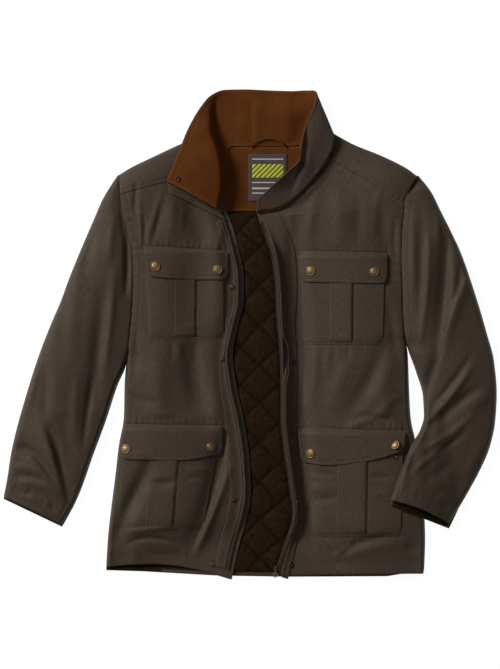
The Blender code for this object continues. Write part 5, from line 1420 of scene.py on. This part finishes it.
def make_slider():
    top_z = PIN_Z - PIN_ABOVE
    bm = bmesh.new()
    for vert in bmesh.ops.create_grid(bm, x_segments=6, y_segments=8, size=0.5)["verts"]:
        t = vert.co.y + 0.5
        wide = SLIDER_WIDTH * (0.68 + 0.32 * ease(t * 1.6)) * (1 - 0.12 * ease((t - 0.7) / 0.3))
        vert.co = (SLIDER_X + vert.co.x * wide, SLIDER_Y + (t - 0.5) * SLIDER_LENGTH, top_z)
    for item in bmesh.ops.extrude_face_region(bm, geom=bm.faces[:])["geom"]:
        if isinstance(item, bmesh.types.BMVert):
            item.co.z = top_z - SLIDER_TALL
    edges = [e for e in bm.edges if len(e.link_faces) == 2 and e.calc_face_angle(0) > 1.0]
    bmesh.ops.bevel(bm, geom=edges, offset=0.45, segments=3, affect="EDGES")
    foot, knee, head = top_z - 0.6, PIN_Z + 0.2, PIN_Z + 0.75
    arch = [(-1.0, foot), (-1.0, knee), (-0.5, head), (0.5, head), (1.0, knee), (1.0, foot)]
    for across in (-2.05, 2.05):
        ear = [(SLIDER_X + across, PIN_Y + along, z) for along, z in arch]
        add_tube(bm, curve_points(ear, 0.5), 0.5, sides=10)
    add_tube(bm, [(SLIDER_X + across, PIN_Y, PIN_Z) for across in (-2, 0, 2)], 0.6)
    finish_bmesh("zip_slider_body", bm, DARK_BRASS, "zip_slider", "jacket")


def make_pull():
    bm = bmesh.new()
    turn = np.linspace(0, math.tau, 25)
    eye = join(SLIDER_X, PIN_Y + PULL_EYE * np.cos(turn), PIN_Z + PULL_EYE * np.sin(turn))
    add_tube(bm, eye, 0.56, closed=True, sides=10)
    neck_y = PIN_Y - PULL_EYE
    add_tube(bm, [(SLIDER_X, neck_y - along, PIN_Z) for along in (0, 1.6, PULL_NECK)], PULL_WIRE)
    turn = np.linspace(0, math.tau, 41)
    ring_y = neck_y - PULL_NECK - PULL_RING
    ring = join(SLIDER_X + PULL_RING * np.sin(turn), ring_y + PULL_RING * np.cos(turn), PIN_Z)
    add_tube(bm, ring, PULL_WIRE, closed=True)
    finish_bmesh("zip_pull_ring", bm, BRASS, "zip_pull", "zip_pull")


# ---------------------------------------------------------------- stage, lights and camera (metres)
CAMERA_AWAY, CAMERA_SPAN = 6.0, 1.2042      # height over the floor, and the view's long side there
SENSOR = 36.0


def make_stage():
    mesh = bpy.data.meshes.new("floor")
    mesh.from_pydata([(-4, -4, 0), (4, -4, 0), (4, 4, 0), (-4, 4, 0)], [], [(0, 1, 2, 3)])
    material, shader = start("floor_white", 1.0, specular=0.0)
    set_looks(shader, {"Base Color": (0.1, 0.1, 0.1), "Emission Color": (1.0, 1.0, 1.0),
                       "Emission Strength": 0.96})
    mesh.materials.append(material)
    add_object("floor", mesh)


def area_light(name, place, size, power):
    """Square light facing the middle of the jacket."""
    data = bpy.data.lights.new(name, "AREA")
    data.size, data.energy = size, power
    made = add_object(name, data)
    made.location = place
    made.rotation_euler = (-Vector(place)).to_track_quat("-Z", "Y").to_euler()


def make_studio():
    area_light("key", (-5.2, 3.6, 4.2), 2.2, 700)
    area_light("fill", (1.2, -0.6, 3.4), 3.0, 9)
    world = bpy.data.worlds.new("studio")
    world.use_nodes = True
    set_looks(world.node_tree.nodes["Background"], {"Color": (1.0, 1.0, 1.0), "Strength": 0.16})
    bpy.context.scene.world = world
    bpy.context.scene.view_settings.view_transform = "Standard"
    data = bpy.data.cameras.new("camera")
    data.sensor_width, data.lens, data.clip_end = SENSOR, SENSOR * CAMERA_AWAY / CAMERA_SPAN, 50.0
    camera = add_object("camera", data)
    camera.location = (0.0, 0.0, CAMERA_AWAY)
    bpy.context.scene.camera = camera


make_back()
make_lining()
make_neck()
make_fronts()
make_bands()
for pocket, (pocket_corners, pleat_left, pleat_right) in POCKETS.items():
    make_pocket(pocket, pocket_corners, pleat_left, pleat_right)
for flap, flap_corners in FLAPS.items():
    make_flap(flap, flap_corners)
make_collar()
make_collar_strip()
make_snaps()
make_sleeves()
make_slider()
make_pull()
STITCHES.finish("topstitching", THREAD)
make_stage()
make_studio()
